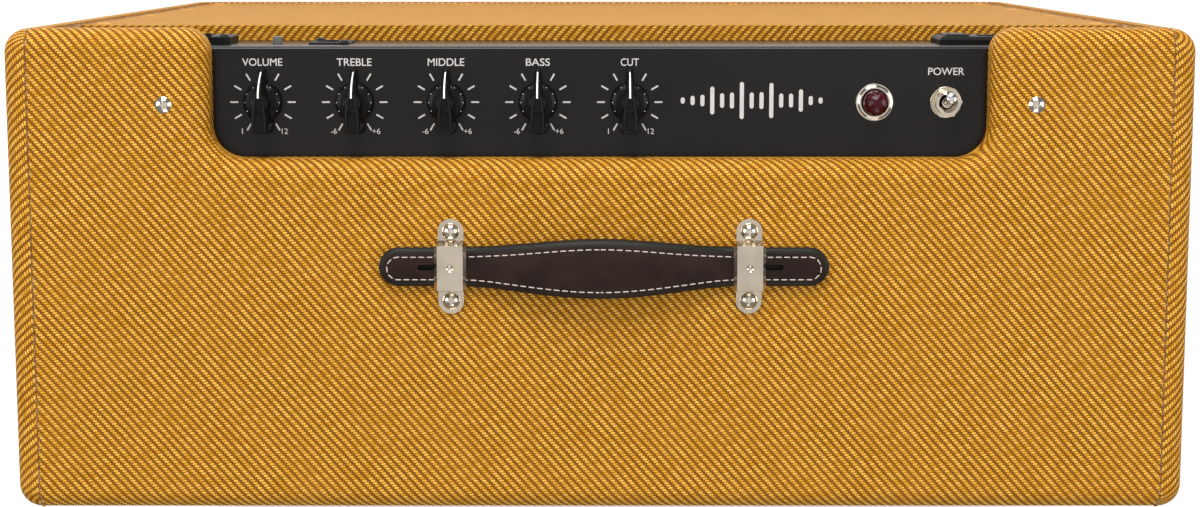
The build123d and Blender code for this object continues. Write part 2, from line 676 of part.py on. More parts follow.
def combo_jack():
    """Combined quarter-inch and three-pin input socket."""
    face = CHASSIS_REAR_Y + JACK_FLANGE_THICKNESS
    jack = connector_flange(JACK_X, JACK_FLANGE_WIDTH, JACK_FLANGE_THICKNESS)
    jack += lengthwise(11.8, face - JACK_BORE_LENGTH - 3, CHASSIS_REAR_Y + 1, JACK_X, CONNECTOR_Z)
    jack -= lengthwise(JACK_BORE_RADIUS, face - JACK_BORE_LENGTH, face + 1, JACK_X, CONNECTOR_Z)
    for angle in (-150, -90, -30):
        x = JACK_X + 7.3 * cos(radians(angle))
        z = CONNECTOR_Z + 7.3 * sin(radians(angle))
        jack -= lengthwise(1.4, face - 13, face + 1, x, z)
    jack -= latch_space(0.3)
    for x, z in connector_screw_places():
        jack -= lengthwise(1.5, CHASSIS_REAR_Y - 3, face + 1, x, z)
    return jack


def latch_space(gap):
    """Block of the jack's release latch, grown by a gap."""
    return block(
        JACK_X - 3.5 - gap, JACK_X + 3.5 + gap,
        CHASSIS_REAR_Y - 2.2 - gap * 6, CHASSIS_REAR_Y + 5.6 + gap * 6,
        CONNECTOR_Z + 11.4 - gap, CONNECTOR_Z + 14.2 + gap,
    )


def line_out_socket():
    """Three-pin line output with a round shroud."""
    face = CHASSIS_REAR_Y + LINE_OUT_FLANGE_THICKNESS
    socket = connector_flange(LINE_OUT_X, LINE_OUT_FLANGE_WIDTH, LINE_OUT_FLANGE_THICKNESS)
    socket += lengthwise(11.0, face - 22, CHASSIS_REAR_Y + 1, LINE_OUT_X, CONNECTOR_Z)
    socket -= lengthwise(8.5, face - 15, face + 1, LINE_OUT_X, CONNECTOR_Z)
    for x, z in connector_screw_places():
        socket -= lengthwise(1.5, CHASSIS_REAR_Y - 3, face + 1, x, z)
    return socket


def connector_pins():
    """Blades of the mains inlet and pins of the line output."""
    root = CHASSIS_REAR_Y + 4.0 - 18.0
    tip = CHASSIS_REAR_Y + 4.0 - 5.8
    blades = [
        block(MAINS_SOCKET_X - 8.0, MAINS_SOCKET_X - 6.0, root, tip, CONNECTOR_Z - 4, CONNECTOR_Z),
        block(MAINS_SOCKET_X + 6.0, MAINS_SOCKET_X + 8.0, root, tip, CONNECTOR_Z - 4, CONNECTOR_Z),
        block(MAINS_SOCKET_X - 1.0, MAINS_SOCKET_X + 1.0, root, tip, CONNECTOR_Z + 1, CONNECTOR_Z + 5),
    ]
    face = CHASSIS_REAR_Y + LINE_OUT_FLANGE_THICKNESS
    for angle in (30, 150, 270):
        x = LINE_OUT_X + 4.2 * cos(radians(angle))
        z = CONNECTOR_Z + 4.2 * sin(radians(angle))
        blades.append(lengthwise(1.2, face - 15, face - 5.5, x, z))
    return Compound(children=blades)


def power_inlet():
    """Three-pole mains inlet with a bay for the fuse drawer."""
    face = CHASSIS_REAR_Y + 4.0
    flange = block(INLET_X - 25, INLET_X + 25, CHASSIS_REAR_Y, face, CONNECTOR_Z - 15, CONNECTOR_Z + 15)
    flange = chamfer(flange.faces().sort_by(Axis.Y)[-1].edges(), 1.6)
    inlet = flange + block(
        INLET_X - 23, INLET_X + 23, face - 30, CHASSIS_REAR_Y, CONNECTOR_Z - 13, CONNECTOR_Z + 13
    )
    cavity = block(
        MAINS_SOCKET_X - 12, MAINS_SOCKET_X + 12, face - 18, face + 1, CONNECTOR_Z - 8, CONNECTOR_Z + 8
    )
    cavity = chamfer(cavity.edges().filter_by(Axis.Y).group_by(Axis.Z)[-1], 4.0)
    return inlet - cavity - fuse_block(0.3, 1.0)


def fuse_block(gap, end_gap):
    """Block of the fuse drawer, grown by a gap all round and at its inner end."""
    face = CHASSIS_REAR_Y + 4.0
    return block(
        FUSE_X - 6.2 - gap, FUSE_X + 6.2 + gap, face - 24 - end_gap, face + 1.0 + end_gap,
        CONNECTOR_Z - 10 - gap, CONNECTOR_Z + 10 + gap,
    )


def fuse_drawer():
    """Drawer for the mains fuse, pulled out to the rear by its finger ledge."""
    face = CHASSIS_REAR_Y + 4.0
    drawer = fuse_block(0.0, 0.0)
    drawer = chamfer(drawer.faces().sort_by(Axis.Y)[-1].edges(), 0.6)
    drawer -= block(FUSE_X - 4, FUSE_X + 4, face - 21, face - 3, CONNECTOR_Z - 3, CONNECTOR_Z + 11)
    drawer -= block(FUSE_X - 4.5, FUSE_X + 4.5, face - 0.6, face + 2, CONNECTOR_Z + 5, CONNECTOR_Z + 6.4)
    return drawer


def ground_lift_button():
    """Small round push button beside the line output."""
    button = lengthwise(2.5, CHASSIS_REAR_Y - 10, CHASSIS_REAR_Y + 3.5, BUTTON_X, CONNECTOR_Z)
    button = fillet(button.faces().sort_by(Axis.Y)[-1].edges(), 0.5)
    return button + lengthwise(3.6, CHASSIS_REAR_Y - 11, CHASSIS_REAR_Y - 6, BUTTON_X, CONNECTOR_Z)


def button_switch():
    """Case of the push button's switch, open towards the rear."""
    case = block(
        BUTTON_X - 5.5, BUTTON_X + 5.5, CHASSIS_REAR_Y - 20, CHASSIS_REAR_Y - SHEET - 0.2,
        CONNECTOR_Z - 5.5, CONNECTOR_Z + 5.5,
    )
    case -= lengthwise(4.0, CHASSIS_REAR_Y - 14, CHASSIS_REAR_Y - 4, BUTTON_X, CONNECTOR_Z)
    return case - lengthwise(2.9, CHASSIS_REAR_Y - 5, CHASSIS_REAR_Y, BUTTON_X, CONNECTOR_Z)


# ---------------------------------------------------------------- electronics

def board_z():
    """Height of the underside of the amplifier board."""
    return CHASSIS_BOTTOM_Z + 8.0


def amplifier_board():
    """Circuit board with its four spacers, and the push button's switch that is wired to it."""
    board = block(-150, 150, CHASSIS_FRONT_Y + 6, CHASSIS_REAR_Y - 35, board_z(), board_z() + 1.6)
    for x in (-140, 140):
        for y in (CHASSIS_FRONT_Y + 11, CHASSIS_REAR_Y - 40):
            board += upright(2.5, CHASSIS_BOTTOM_Z, board_z(), x, y)
    return Compound(children=[board, button_switch()])


def heatsink():
    """Finned aluminium block for the output stage."""
    base_z = board_z() + 1.6
    sink = block(-60, 60, CHASSIS_FRONT_Y + 8, CHASSIS_FRONT_Y + 34, base_z, base_z + 5)
    for i in range(9):
        x = -58 + i * 14.125
        sink += block(x - 1.5, x + 1.5, CHASSIS_FRONT_Y + 8, CHASSIS_FRONT_Y + 34, base_z + 5, base_z + 30)
    return sink


def power_transformer():
    """Transformer of the switching power supply: a ferrite core round its winding."""
    base_z = board_z() + 1.6
    y0 = CHASSIS_FRONT_Y + 8
    core = block(92, 132, y0, y0 + 26, base_z, base_z + 32)
    core -= block(98, 126, y0 - 1, y0 + 27, base_z + 6, base_z + 26)
    winding = block(98.5, 125.5, y0 + 1, y0 + 25, base_z + 6.5, base_z + 25.5)
    return Compound(children=[core, winding])


def capacitors():
    """Four smoothing capacitors standing on the board."""
    base_z = board_z() + 1.6
    cans = []
    for i in range(4):
        can = upright(8.5, base_z, base_z + 34, -136 + i * 20, CHASSIS_FRONT_Y + 21)
        cans.append(fillet(can.edges(), 1.2))
    return Compound(children=cans)


# ---------------------------------------------------------------- speaker and horn

def on_woofer_axis(shape):
    """Moves a shape from its own axis to the rear face of the baffle."""
    return speaker_frame(WOOFER_Z, BAFFLE_INSET + BAFFLE_THICKNESS) * shape


def woofer_basket():
    """Pressed-steel frame with six windows between its arms."""
    basket = turned([
        (141.5, 0), (FRAME_RADIUS, 0), (FRAME_RADIUS, FRAME_SHEET), (146, FRAME_SHEET), (142, 12), (84, 66),
        (84, 74), (40, 74), (40, 71.8), (80, 71.8), (80, 64), (139, 10), (141.5, 4),
    ])
    window = block(70, 150, -24, 24, 15, 60)
    for i in range(6):
        basket -= Rot(0, 0, i * 60 + 30) * window
    return on_woofer_axis(basket - woofer_screw_holes())


def woofer_screw_holes():
    """Holes for the speaker frame's mounting screws, about the woofer's own axis."""
    step = 360 / FRAME_SCREWS
    return [Rot(0, 0, i * step) * upright(2.4, -20, 20, FRAME_SCREW_CIRCLE) for i in range(FRAME_SCREWS)]


def woofer_screws():
    """Screws that hold the speaker frame to the baffle from behind."""
    screw = Pos(FRAME_SCREW_CIRCLE, 0, FRAME_SHEET) * pan_screw(4.0, 2.0, 2.0, 13, cross=False)
    step = 360 / FRAME_SCREWS
    return on_woofer_axis(Compound(children=[Rot(0, 0, i * step) * screw for i in range(FRAME_SCREWS)]))


def woofer_surround():
    """Rolled cloth edge that lets the cone travel."""
    ring = turned([
        (CONE_RADIUS + 0.4, 3.2), (CONE_RADIUS + 1.5, 0.4), (131.5, -2.4), (135, -3.4), (138.2, -2.2),
        (139.4, 0.4), (141.2, 0.4), (141.2, 1.4), (138.6, 1.4), (137.3, -1.3), (135, -2.4),
        (132.2, -1.4), (130.6, 0.9), (129.6, 3.4),
    ])
    return on_woofer_axis(ring)


def woofer_cone():
    """Paper cone, deeper towards the voice coil."""
    cone = turned([
        (CONE_RADIUS, 2.6), (CONE_RADIUS, 4.2), (70, 33.5), (34.5, 53.0), (32.7, 53.0), (69, 31.6),
    ])
    return on_woofer_axis(cone)


def woofer_dust_cap():
    """Dome over the middle of the cone."""
    dome = Pos(0, 0, 74.0) * Sphere(44.0)
    cap = (dome - Pos(0, 0, 74.0) * Sphere(43.2)) & upright(36.0, 20, 47.8)
    return on_woofer_axis(cap)


def voice_coil():
    """Wound tube that runs in the magnet gap."""
    coil = upright(COIL_RADIUS + 0.3, 53.2, 86.0) - upright(COIL_RADIUS - 0.3, 53, 87)
    return on_woofer_axis(coil)


def woofer_spider():
    """Corrugated cloth disc that centres the coil."""
    points = [(33.0, 62.0)]
    for i in range(8):
        points.append((36.0 + i * 5.2, 63.2 if i % 2 else 60.8))
    upper = points + [(79.0, 62.0)]
    lower = [(radius, height + 0.9) for radius, height in reversed(upper)]
    return on_woofer_axis(turned(upper + lower))


def magnet_plates():
    """Steel front plate, and back plate with its pole piece, of the magnet."""
    front = upright(72, 74.2, 82) - upright(COIL_RADIUS + 0.8, 74, 83)
    rear = upright(72, 102.2, 110) + upright(COIL_RADIUS - 0.8, 74.2, 104) - upright(9, 70, 120)
    return on_woofer_axis(Compound(children=[front, rear]))


def woofer_magnet():
    """Ceramic ring magnet."""
    return on_woofer_axis(upright(78, 82, 102.2) - upright(40, 80, 104))


def horn_taper(width, height, throat, start, end):
    """Straight-sided taper from the mouth of the horn to its throat."""
    mouth = Pos(0, 0, start) * RectangleRounded(width, height, 8)
    neck = Pos(0, 0, end) * RectangleRounded(throat, throat, throat * 0.4)
    return loft([mouth, neck])


def horn_flare():
    """Moulded horn with a flange on the front of the baffle."""
    wall = 3.0
    flange = extrude(RectangleRounded(HORN_FLANGE_WIDTH, HORN_FLANGE_HEIGHT, 10), amount=3.0)
    body = Pos(0, 0, -3) * flange
    body += horn_taper(HORN_WIDTH, HORN_HEIGHT, 2 * (THROAT_RADIUS + wall), 0, HORN_DEPTH)
    body += upright(24, HORN_DEPTH - 6, HORN_DEPTH)
    mouth_depth = 3.5
    inner_width = HORN_WIDTH - 2 * wall
    inner_height = HORN_HEIGHT - 2 * wall
    mouth = extrude(RectangleRounded(inner_width, inner_height, 8), amount=mouth_depth + 0.5)
    body -= Pos(0, 0, -mouth_depth) * mouth
    body -= horn_taper(inner_width, inner_height, 2 * THROAT_RADIUS - 2, 0.4, HORN_DEPTH + 1)
    return speaker_frame(HORN_Z, BAFFLE_INSET) * body


def horn_driver():
    """Compression driver bolted to the horn's throat."""
    start = HORN_DEPTH + 0.1
    driver = upright(30, start, start + 8) + upright(DRIVER_RADIUS, start + 8, start + 34)
    driver += upright(26, start + 34, start + 40)
    driver -= upright(THROAT_RADIUS, start - 1, start + 12)
    return speaker_frame(HORN_Z, BAFFLE_INSET) * driver


def speaker_lead():
    """Lead from the chassis to the speaker frame, in gentle bends."""
    points = [
        (LEAD_X, LEAD_Y, CHASSIS_BOTTOM_Z + 6), (150, 61, 372), (147, 54, 346), (138, 40, 322),
        (124, 24, 300), (106, 8, 280), (88, -6, 262), (74, -16, 240),
    ]
    path = FilletPolyline(*points, radius=24)
    start = Plane(origin=points[0], z_dir=Vector(*points[1]) - Vector(*points[0]))
    return sweep(start * Circle(LEAD_RADIUS), path=path)


# ---------------------------------------------------------------- build and export

def amplifier():
    """Every part of the amplifier by its node name."""
    parts = cabinet_parts()
    parts.update({
        "cabinet_cleats": cleats(),
        "baffle_board": baffle_board(),
        "grille_frame": grille_frame(),
        "grille_cloth": grille_cloth(),
        "back_panel": back_panel(),
        "tweed_back": tweed_back(),
        "cabinet_screws": cabinet_screws(),
        "rubber_feet": rubber_feet(),
        "handle_grip": handle_grip(),
        "handle_end_left": handle_end(-1),
        "handle_end_right": handle_end(1),
        "handle_cap_left": handle_cap(-1),
        "handle_cap_right": handle_cap(1),
        "top_screws": top_screws(),
        "chassis_shell": chassis_shell(),
        "chassis_cover": chassis_cover(),
        "panel_nuts": panel_nuts(),
        "potentiometers": potentiometers(),
        "lamp_bezel": lamp_bezel(),
        "lamp_jewel": lamp_jewel(),
        "lamp_socket": lamp_socket(),
        "toggle_body": toggle_body(),
        "toggle_lever": toggle_lever(),
        "combo_jack": combo_jack(),
        "jack_latch": latch_space(0.0),
        "line_out_socket": line_out_socket(),
        "connector_pins": connector_pins(),
        "connector_screws": connector_screws(),
        "power_inlet": power_inlet(),
        "fuse_drawer": fuse_drawer(),
        "ground_lift_button": ground_lift_button(),
        "amplifier_board": amplifier_board(),
        "heatsink": heatsink(),
        "power_transformer": power_transformer(),
        "capacitors": capacitors(),
        "woofer_basket": woofer_basket(),
        "woofer_screws": woofer_screws(),
        "woofer_surround": woofer_surround(),
        "woofer_cone": woofer_cone(),
        "woofer_dust_cap": woofer_dust_cap(),
        "voice_coil": voice_coil(),
        "woofer_spider": woofer_spider(),
        "magnet_plates": magnet_plates(),
        "woofer_magnet": woofer_magnet(),
        "horn_flare": horn_flare(),
        "horn_driver": horn_driver(),
        "speaker_lead": speaker_lead(),
    })
    for name, x in zip(CONTROL_NAMES, KNOB_XS):
        parts[f"knob_{name}"] = knob(x)
    return parts


os.makedirs("parts", exist_ok=True)
for node, shape in amplifier().items():
    export_step(shape, f"parts/{node}.step")
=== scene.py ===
import json
import math
import random

import bmesh
import bpy
from mathutils import Matrix, Vector


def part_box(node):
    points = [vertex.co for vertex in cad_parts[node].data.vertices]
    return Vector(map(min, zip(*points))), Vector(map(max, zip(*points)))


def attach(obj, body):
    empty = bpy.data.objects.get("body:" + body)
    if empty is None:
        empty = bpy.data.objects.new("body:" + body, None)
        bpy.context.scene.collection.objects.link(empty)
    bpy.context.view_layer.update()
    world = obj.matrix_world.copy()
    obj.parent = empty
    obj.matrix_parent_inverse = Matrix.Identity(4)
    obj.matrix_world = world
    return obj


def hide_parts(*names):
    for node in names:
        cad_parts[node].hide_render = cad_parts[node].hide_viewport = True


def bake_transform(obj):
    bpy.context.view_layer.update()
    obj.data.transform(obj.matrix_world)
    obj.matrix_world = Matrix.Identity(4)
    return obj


# Looks of the tweed guitar amplifier around its CAD frame. Metres; X right, Y to the rear, Z up.
# The CAD nodes keep their places. Strap, knobs, lamp, toggle lever and cloths are rebuilt in more detail.

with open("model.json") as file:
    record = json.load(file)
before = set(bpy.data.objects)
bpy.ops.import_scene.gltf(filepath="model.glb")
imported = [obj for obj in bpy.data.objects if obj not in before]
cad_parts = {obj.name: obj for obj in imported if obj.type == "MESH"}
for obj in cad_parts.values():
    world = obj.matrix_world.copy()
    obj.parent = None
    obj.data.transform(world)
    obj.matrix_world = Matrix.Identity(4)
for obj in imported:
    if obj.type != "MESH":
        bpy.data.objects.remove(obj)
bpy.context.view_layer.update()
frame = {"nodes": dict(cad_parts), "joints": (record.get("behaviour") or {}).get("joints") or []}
NODES = frame["nodes"]
MM = 0.001
random.seed(12)

# Places read from the frame
SEAM_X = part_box("tweed_top")[1].x
TOP_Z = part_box("tweed_top")[1].z
HALF_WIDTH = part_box("tweed_right")[1].x
REAR_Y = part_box("tweed_right")[1].y
TOP_FRONT_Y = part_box("tweed_top")[0].y
BOTTOM_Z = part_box("tweed_bottom")[0].z
PANEL_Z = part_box("chassis_shell")[1].z
HANDLE_Y = sum(corner.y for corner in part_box("handle_grip")) / 2
TURNS = {joint["child"]: Vector(joint["pos_m"]) for joint in frame["joints"] if "pos_m" in joint}
CONTROLS = ["volume", "treble", "middle", "bass", "cut"]
KNOB_PLACES = {name: TURNS[f"{name}_control"] for name in CONTROLS}
SIDE_NAMES = {-1: "left", 1: "right"}

# Roundings of the covered cabinet: along its edges, and round its upright corners
RIM_RADIUS = 10 * MM
CORNER_RADIUS = 12 * MM

# Height of the woofer's axis
WOOFER_AXIS_Z = 196 * MM


# ---------------------------------------------------------------- colours and shader graphs

def rgb(red, green, blue):
    """Linear colour from 0-255 display values."""
    def linear(value):
        value /= 255
        return value / 12.92 if value <= 0.04045 else ((value + 0.055) / 1.055) ** 2.4
    return (linear(red), linear(green), linear(blue), 1.0)


class Shader:
    """A material whose node graph is put together by short calls."""

    def __init__(self, name, roughness=0.5, metallic=0.0, **settings):
        self.material = bpy.data.materials.new(name)
        self.material.use_nodes = True
        self.tree = self.material.node_tree
        self.surface = self.tree.nodes["Principled BSDF"]
        self.surface.inputs["Roughness"].default_value = roughness
        self.surface.inputs["Metallic"].default_value = metallic
        for name, value in settings.items():
            self.surface.inputs[name.replace("_", " ")].default_value = value

    def add(self, kind, output=0, **values):
        """A node with its settings and inputs, given by name; returns one of its outputs."""
        node = self.tree.nodes.new("ShaderNode" + kind)
        for name, value in values.items():
            if hasattr(node, name):
                setattr(node, name, value)
            else:
                self.feed(node.inputs[name.replace("_", " ").title()], value)
        return node.outputs[output]

    def feed(self, socket, value):
        if isinstance(value, bpy.types.NodeSocket):
            self.tree.links.new(value, socket)
        else:
            socket.default_value = value

    def math(self, operation, *values):
        node = self.tree.nodes.new("ShaderNodeMath")
        node.operation = operation
        for socket, value in zip(node.inputs, values):
            self.feed(socket, value)
        return node.outputs[0]

    def plus(self, first, second):
        return self.math("ADD", first, second)

    def minus(self, first, second):
        return self.math("SUBTRACT", first, second)

    def times(self, first, second):
        return self.math("MULTIPLY", first, second)

    def ramp(self, value, low, high, start=0.0, end=1.0):
        """Smooth step of a value from low to high, as start to end."""
        node = self.tree.nodes.new("ShaderNodeMapRange")
        node.interpolation_type = "SMOOTHSTEP"
        for socket, number in zip(node.inputs, (value, low, high, start, end)):
            self.feed(socket, number)
        return node.outputs[0]

    def mix(self, factor, first, second):
        node = self.tree.nodes.new("ShaderNodeMix")
        node.data_type = "RGBA"
        self.feed(node.inputs[0], factor)
        self.feed(node.inputs[6], first)
        self.feed(node.inputs[7], second)
        return node.outputs[2]

    def split(self, vector):
        node = self.tree.nodes.new("ShaderNodeSeparateXYZ")
        self.feed(node.inputs[0], vector)
        return node.outputs[0], node.outputs[1], node.outputs[2]

    def join(self, x, y, z=0.0):
        node = self.tree.nodes.new("ShaderNodeCombineXYZ")
        for socket, value in zip(node.inputs, (x, y, z)):
            self.feed(socket, value)
        return node.outputs[0]

    def place(self):
        """Position on the object, in metres."""
        return self.tree.nodes.new("ShaderNodeTexCoord").outputs["Object"]

    def noise(self, scale, detail=2.0, vector=None):
        """Noise of about so many blobs to a metre."""
        vector = vector if vector is not None else self.place()
        return self.add("TexNoise", scale=scale, detail=detail, vector=vector)

    def streaks(self, along, across, detail):
        """Noise drawn out along X, with so many blobs to a metre along it and across it."""
        x, y, z = self.split(self.place())
        stretched = self.join(self.times(x, along), self.times(y, across), self.times(z, across))
        return self.noise(1.0, detail, stretched)

    def colour(self, value):
        self.feed(self.surface.inputs["Base Color"], value)

    def rough(self, value):
        self.feed(self.surface.inputs["Roughness"], value)

    def bump(self, height, distance, strength=1.0):
        node = self.tree.nodes.new("ShaderNodeBump")
        node.inputs["Strength"].default_value = strength
        node.inputs["Distance"].default_value = distance
        self.feed(node.inputs["Height"], height)
        self.feed(self.surface.inputs["Normal"], node.outputs[0])


def tweed_cloth():
    """Lacquered diagonal twill: light floats over dark gaps, each row a quarter of a period along."""
    period = 4.37  # mm of cloth, as is the rows' pitch
    row_pitch = 1.24
    wander_rows = 0.6
    row_step = 0.25
    half_float = 0.29
    half_row = 0.60
    float_tilt = 0.13
    shader = Shader("tweed_cloth", roughness=0.55, Specular_IOR_Level=0.10)
    weave = shader.tree.nodes.new("ShaderNodeUVMap")
    weave.uv_map = "weave"
    u, v, _ = shader.split(weave.outputs[0])
    wander = shader.noise(0.09, 2.0, weave.outputs[0])
    line = shader.plus(shader.math("DIVIDE", v, row_pitch), shader.times(wander, wander_rows))
    row = shader.math("FLOOR", line)
    across = shader.minus(shader.math("FRACT", line), 0.5)
    along = shader.plus(shader.math("DIVIDE", u, period), shader.times(row, row_step))
    stitch = shader.math("FLOOR", along)
    thread = shader.add("TexWhiteNoise", vector=shader.join(stitch, row))
    x = shader.math("DIVIDE", shader.minus(shader.math("FRACT", along), 0.5), half_float)
    tilted = shader.minus(across, shader.times(x, float_tilt))
    y = shader.math("DIVIDE", tilted, half_row)
    rounded = shader.minus(1.0, shader.math("POWER", shader.math("ABSOLUTE", x), 2.6))
    bulge = shader.minus(rounded, shader.times(y, y))
    float_height = shader.math("SQRT", shader.math("MAXIMUM", bulge, 0.0))
    is_float = shader.ramp(bulge, 0.02, 0.34)
    fibre_map = shader.join(shader.times(u, 0.8), shader.times(v, 7.0))
    fibres = shader.noise(1.0, 3.0, fibre_map)
    patches = shader.noise(0.035, 3.0, weave.outputs[0])
    slub_map = shader.join(shader.times(u, 0.12), shader.times(v, 1.3))
    slub = shader.noise(0.5, 2.0, slub_map)
    shade = shader.plus(shader.times(thread, 0.30), shader.times(fibres, 0.55))
    shade = shader.plus(shade, shader.times(slub, 0.35))
    light = shader.mix(shader.ramp(shade, 0.30, 0.88), rgb(196, 133, 16), rgb(230, 176, 80))
    core = shader.ramp(shader.math("ABSOLUTE", across), 0.10, 0.30, 1.0, 0.0)
    gap = shader.mix(shader.times(core, 0.75), rgb(92, 52, 4), rgb(160, 104, 18))
    cloth = shader.mix(is_float, gap, light)
    aged = shader.mix(shader.ramp(patches, 0.35, 0.70, 0.0, 0.16), cloth, rgb(176, 112, 24))
    shader.colour(aged)
    shader.rough(shader.ramp(float_height, 0.0, 1.0, 0.72, 0.46))
    height = shader.plus(float_height, shader.times(fibres, 0.25))
    shader.bump(height, 0.28 * MM, 0.8)
    return shader.material


def edge_thread():
    """Pale frayed cotton at the cloth's cut edges."""
    shader = Shader("edge_thread", roughness=0.8)
    shader.colour(shader.mix(shader.noise(900), rgb(214, 182, 128), rgb(242, 222, 184)))
    return shader.material


def seam_gap():
    """Dark line where two cloths meet."""
    shader = Shader("seam_gap", roughness=0.9)
    shader.colour(shader.mix(shader.noise(500), rgb(70, 42, 10), rgb(122, 82, 28)))
    return shader.material


def grille_weave():
    """Oxblood speaker cloth with thin gold stripes."""
    shader = Shader("grille_weave", roughness=0.7, Specular_IOR_Level=0.25)
    warp_pitch = 1.4 * MM
    weft_pitch = 1.1 * MM
    stripe_pitch = 9 * MM
    x, _, z = shader.split(shader.place())
    warp = shader.math("SINE", shader.times(x, 2 * math.pi / warp_pitch))
    weft = shader.math("SINE", shader.times(z, 2 * math.pi / weft_pitch))
    cross = shader.times(warp, weft)
    stripe = shader.math("FRACT", shader.math("DIVIDE", shader.plus(x, z), stripe_pitch))
    gold = shader.ramp(shader.math("ABSOLUTE", shader.minus(stripe, 0.5)), 0.06, 0.10, 1.0, 0.0)
    gold = shader.times(gold, shader.ramp(cross, -0.6, 0.2))
    red = shader.mix(shader.ramp(cross, -0.9, 0.9), rgb(34, 8, 8), rgb(112, 32, 28))
    shader.colour(shader.mix(gold, red, rgb(196, 152, 74)))
    shader.bump(shader.plus(cross, shader.times(gold, 0.8)), 0.18 * MM, 0.8)
    return shader.material


def strap_leather():
    """Dark brown leather with pebbled grain."""
    shader = Shader("strap_leather", roughness=0.45, Specular_IOR_Level=0.12)
    grain = shader.add("TexVoronoi", scale=1500, vector=shader.place())
    fine = shader.noise(2500, 3.0)
    worn = shader.noise(60, 3.0)
    tone = shader.mix(shader.ramp(worn, 0.35, 0.7), rgb(33, 21, 18), rgb(43, 29, 24))
    shader.colour(shader.mix(shader.ramp(grain, 0.35, 0.0, 0.0, 0.45), tone, rgb(24, 13, 12)))
    shader.rough(shader.ramp(fine, 0.3, 0.7, 0.36, 0.58))
    shader.bump(shader.plus(grain, shader.times(fine, 0.4)), 0.12 * MM, 0.6)
    return shader.material


def edge_paint():
    """Charcoal edge dressing of the strap."""
    shader = Shader("edge_paint", roughness=0.5, Specular_IOR_Level=0.18)
    shader.colour(shader.mix(shader.noise(180, 3.0), rgb(26, 24, 20), rgb(33, 31, 26)))
    shader.bump(shader.noise(700, 3.0), 0.10 * MM, 0.5)
    return shader.material


def stitch_thread():
    """Off-white waxed thread, twisted."""
    shader = Shader("stitch_thread", roughness=0.6)
    twist_pitch = 0.55 * MM
    x, y, _ = shader.split(shader.place())
    twist = shader.math("SINE", shader.times(shader.plus(x, y), 2 * math.pi / twist_pitch))
    shader.colour(shader.mix(shader.ramp(twist, -1.0, 1.0), rgb(160, 148, 136), rgb(214, 206, 196)))
    shader.bump(twist, 0.06 * MM, 0.6)
    return shader.material


def metal(name, tone, roughness, brushed=0.0):
    """Plated metal with faint smears, and fine lines along X that show more where brushed."""
    shader = Shader(name, roughness=roughness, metallic=1.0)
    smear = shader.noise(90, 3.0)
    dark = tuple(value * 0.86 for value in tone[:3]) + (1.0,)
    shader.colour(shader.mix(shader.ramp(smear, 0.35, 0.7), dark, tone))
    lines = shader.streaks(along=60, across=4200, detail=2.0)
    shader.rough(shader.ramp(smear, 0.3, 0.75, roughness * 0.8, roughness * 1.5))
    shader.bump(lines, 0.02 * MM, 0.15 + brushed)
    return shader.material


def panel_steel():
    """Black powder coat on steel or on the speaker's basket."""
    shader = Shader("panel_steel", roughness=0.24, Specular_IOR_Level=0.26)
    grit = shader.noise(1600, 3.0)
    cloud = shader.noise(14, 2.0)
    shader.colour(shader.mix(shader.ramp(cloud, 0.3, 0.7), rgb(17, 15, 14), rgb(23, 20, 19)))
    shader.rough(shader.ramp(grit, 0.3, 0.7, 0.20, 0.28))
    shader.bump(grit, 0.05 * MM, 0.35)
    return shader.material


def panel_ink():
    """Off-white screen-printed ink."""
    shader = Shader("panel_ink", roughness=0.5)
    shader.colour(shader.mix(shader.noise(1200), rgb(182, 178, 173), rgb(202, 198, 193)))
    return shader.material


def emblem_silver():
    """Silver-white foil of the ornament on the panel."""
    shader = Shader("emblem_silver", roughness=0.35, metallic=0.3)
    shader.colour(shader.mix(shader.noise(300), rgb(192, 188, 184), rgb(212, 208, 204)))
    return shader.material


def plastic(name, dark, light, roughness, grain=900, depth=0.04, gloss=0.3):
    """Moulded plastic or rubber with a fine surface."""
    shader = Shader(name, roughness=roughness, Specular_IOR_Level=gloss)
    texture = shader.noise(grain, 3.0)
    shader.colour(shader.mix(shader.noise(40, 3.0), dark, light))
    shader.rough(shader.ramp(texture, 0.3, 0.7, roughness * 0.85, roughness * 1.2))
    shader.bump(texture, depth * MM, 0.4)
    return shader.material


def ruby_glass():
    """Deep red glass of the pilot lamp."""
    shader = Shader("ruby_glass", roughness=0.22, IOR=1.5, Transmission_Weight=0.35, Specular_IOR_Level=0.12)
    shader.colour(shader.mix(shader.noise(260), rgb(50, 1, 10), rgb(84, 5, 20)))
    shader.bump(shader.noise(500), 0.05 * MM, 0.2)
    return shader.material


def board_wood():
    """Pine and plywood with its grain along X."""
    shader = Shader("board_wood", roughness=0.6)
    grain = shader.streaks(along=5, across=120, detail=6.0)
    shader.colour(shader.mix(shader.ramp(grain, 0.35, 0.68), rgb(168, 122, 72), rgb(214, 176, 122)))
    shader.bump(grain, 0.15 * MM, 0.4)
    return shader.material


def speaker_paper(name, dark, light, ring=2.2 * MM):
    """Pressed pulp or treated cloth with faint rings about the woofer's axis."""
    shader = Shader(name, roughness=0.85)
    fibre = shader.noise(420, 4.0)
    x, _, z = shader.split(shader.place())
    rise = shader.minus(z, WOOFER_AXIS_Z)
    squares = shader.plus(shader.times(x, x), shader.times(rise, rise))
    radius = shader.math("SQRT", squares)
    rings = shader.math("SINE", shader.times(radius, 2 * math.pi / ring))
    shader.colour(shader.mix(shader.ramp(fibre, 0.3, 0.7), dark, light))
    shader.bump(shader.plus(fibre, shader.times(rings, 0.3)), 0.2 * MM, 0.5)
    return shader.material


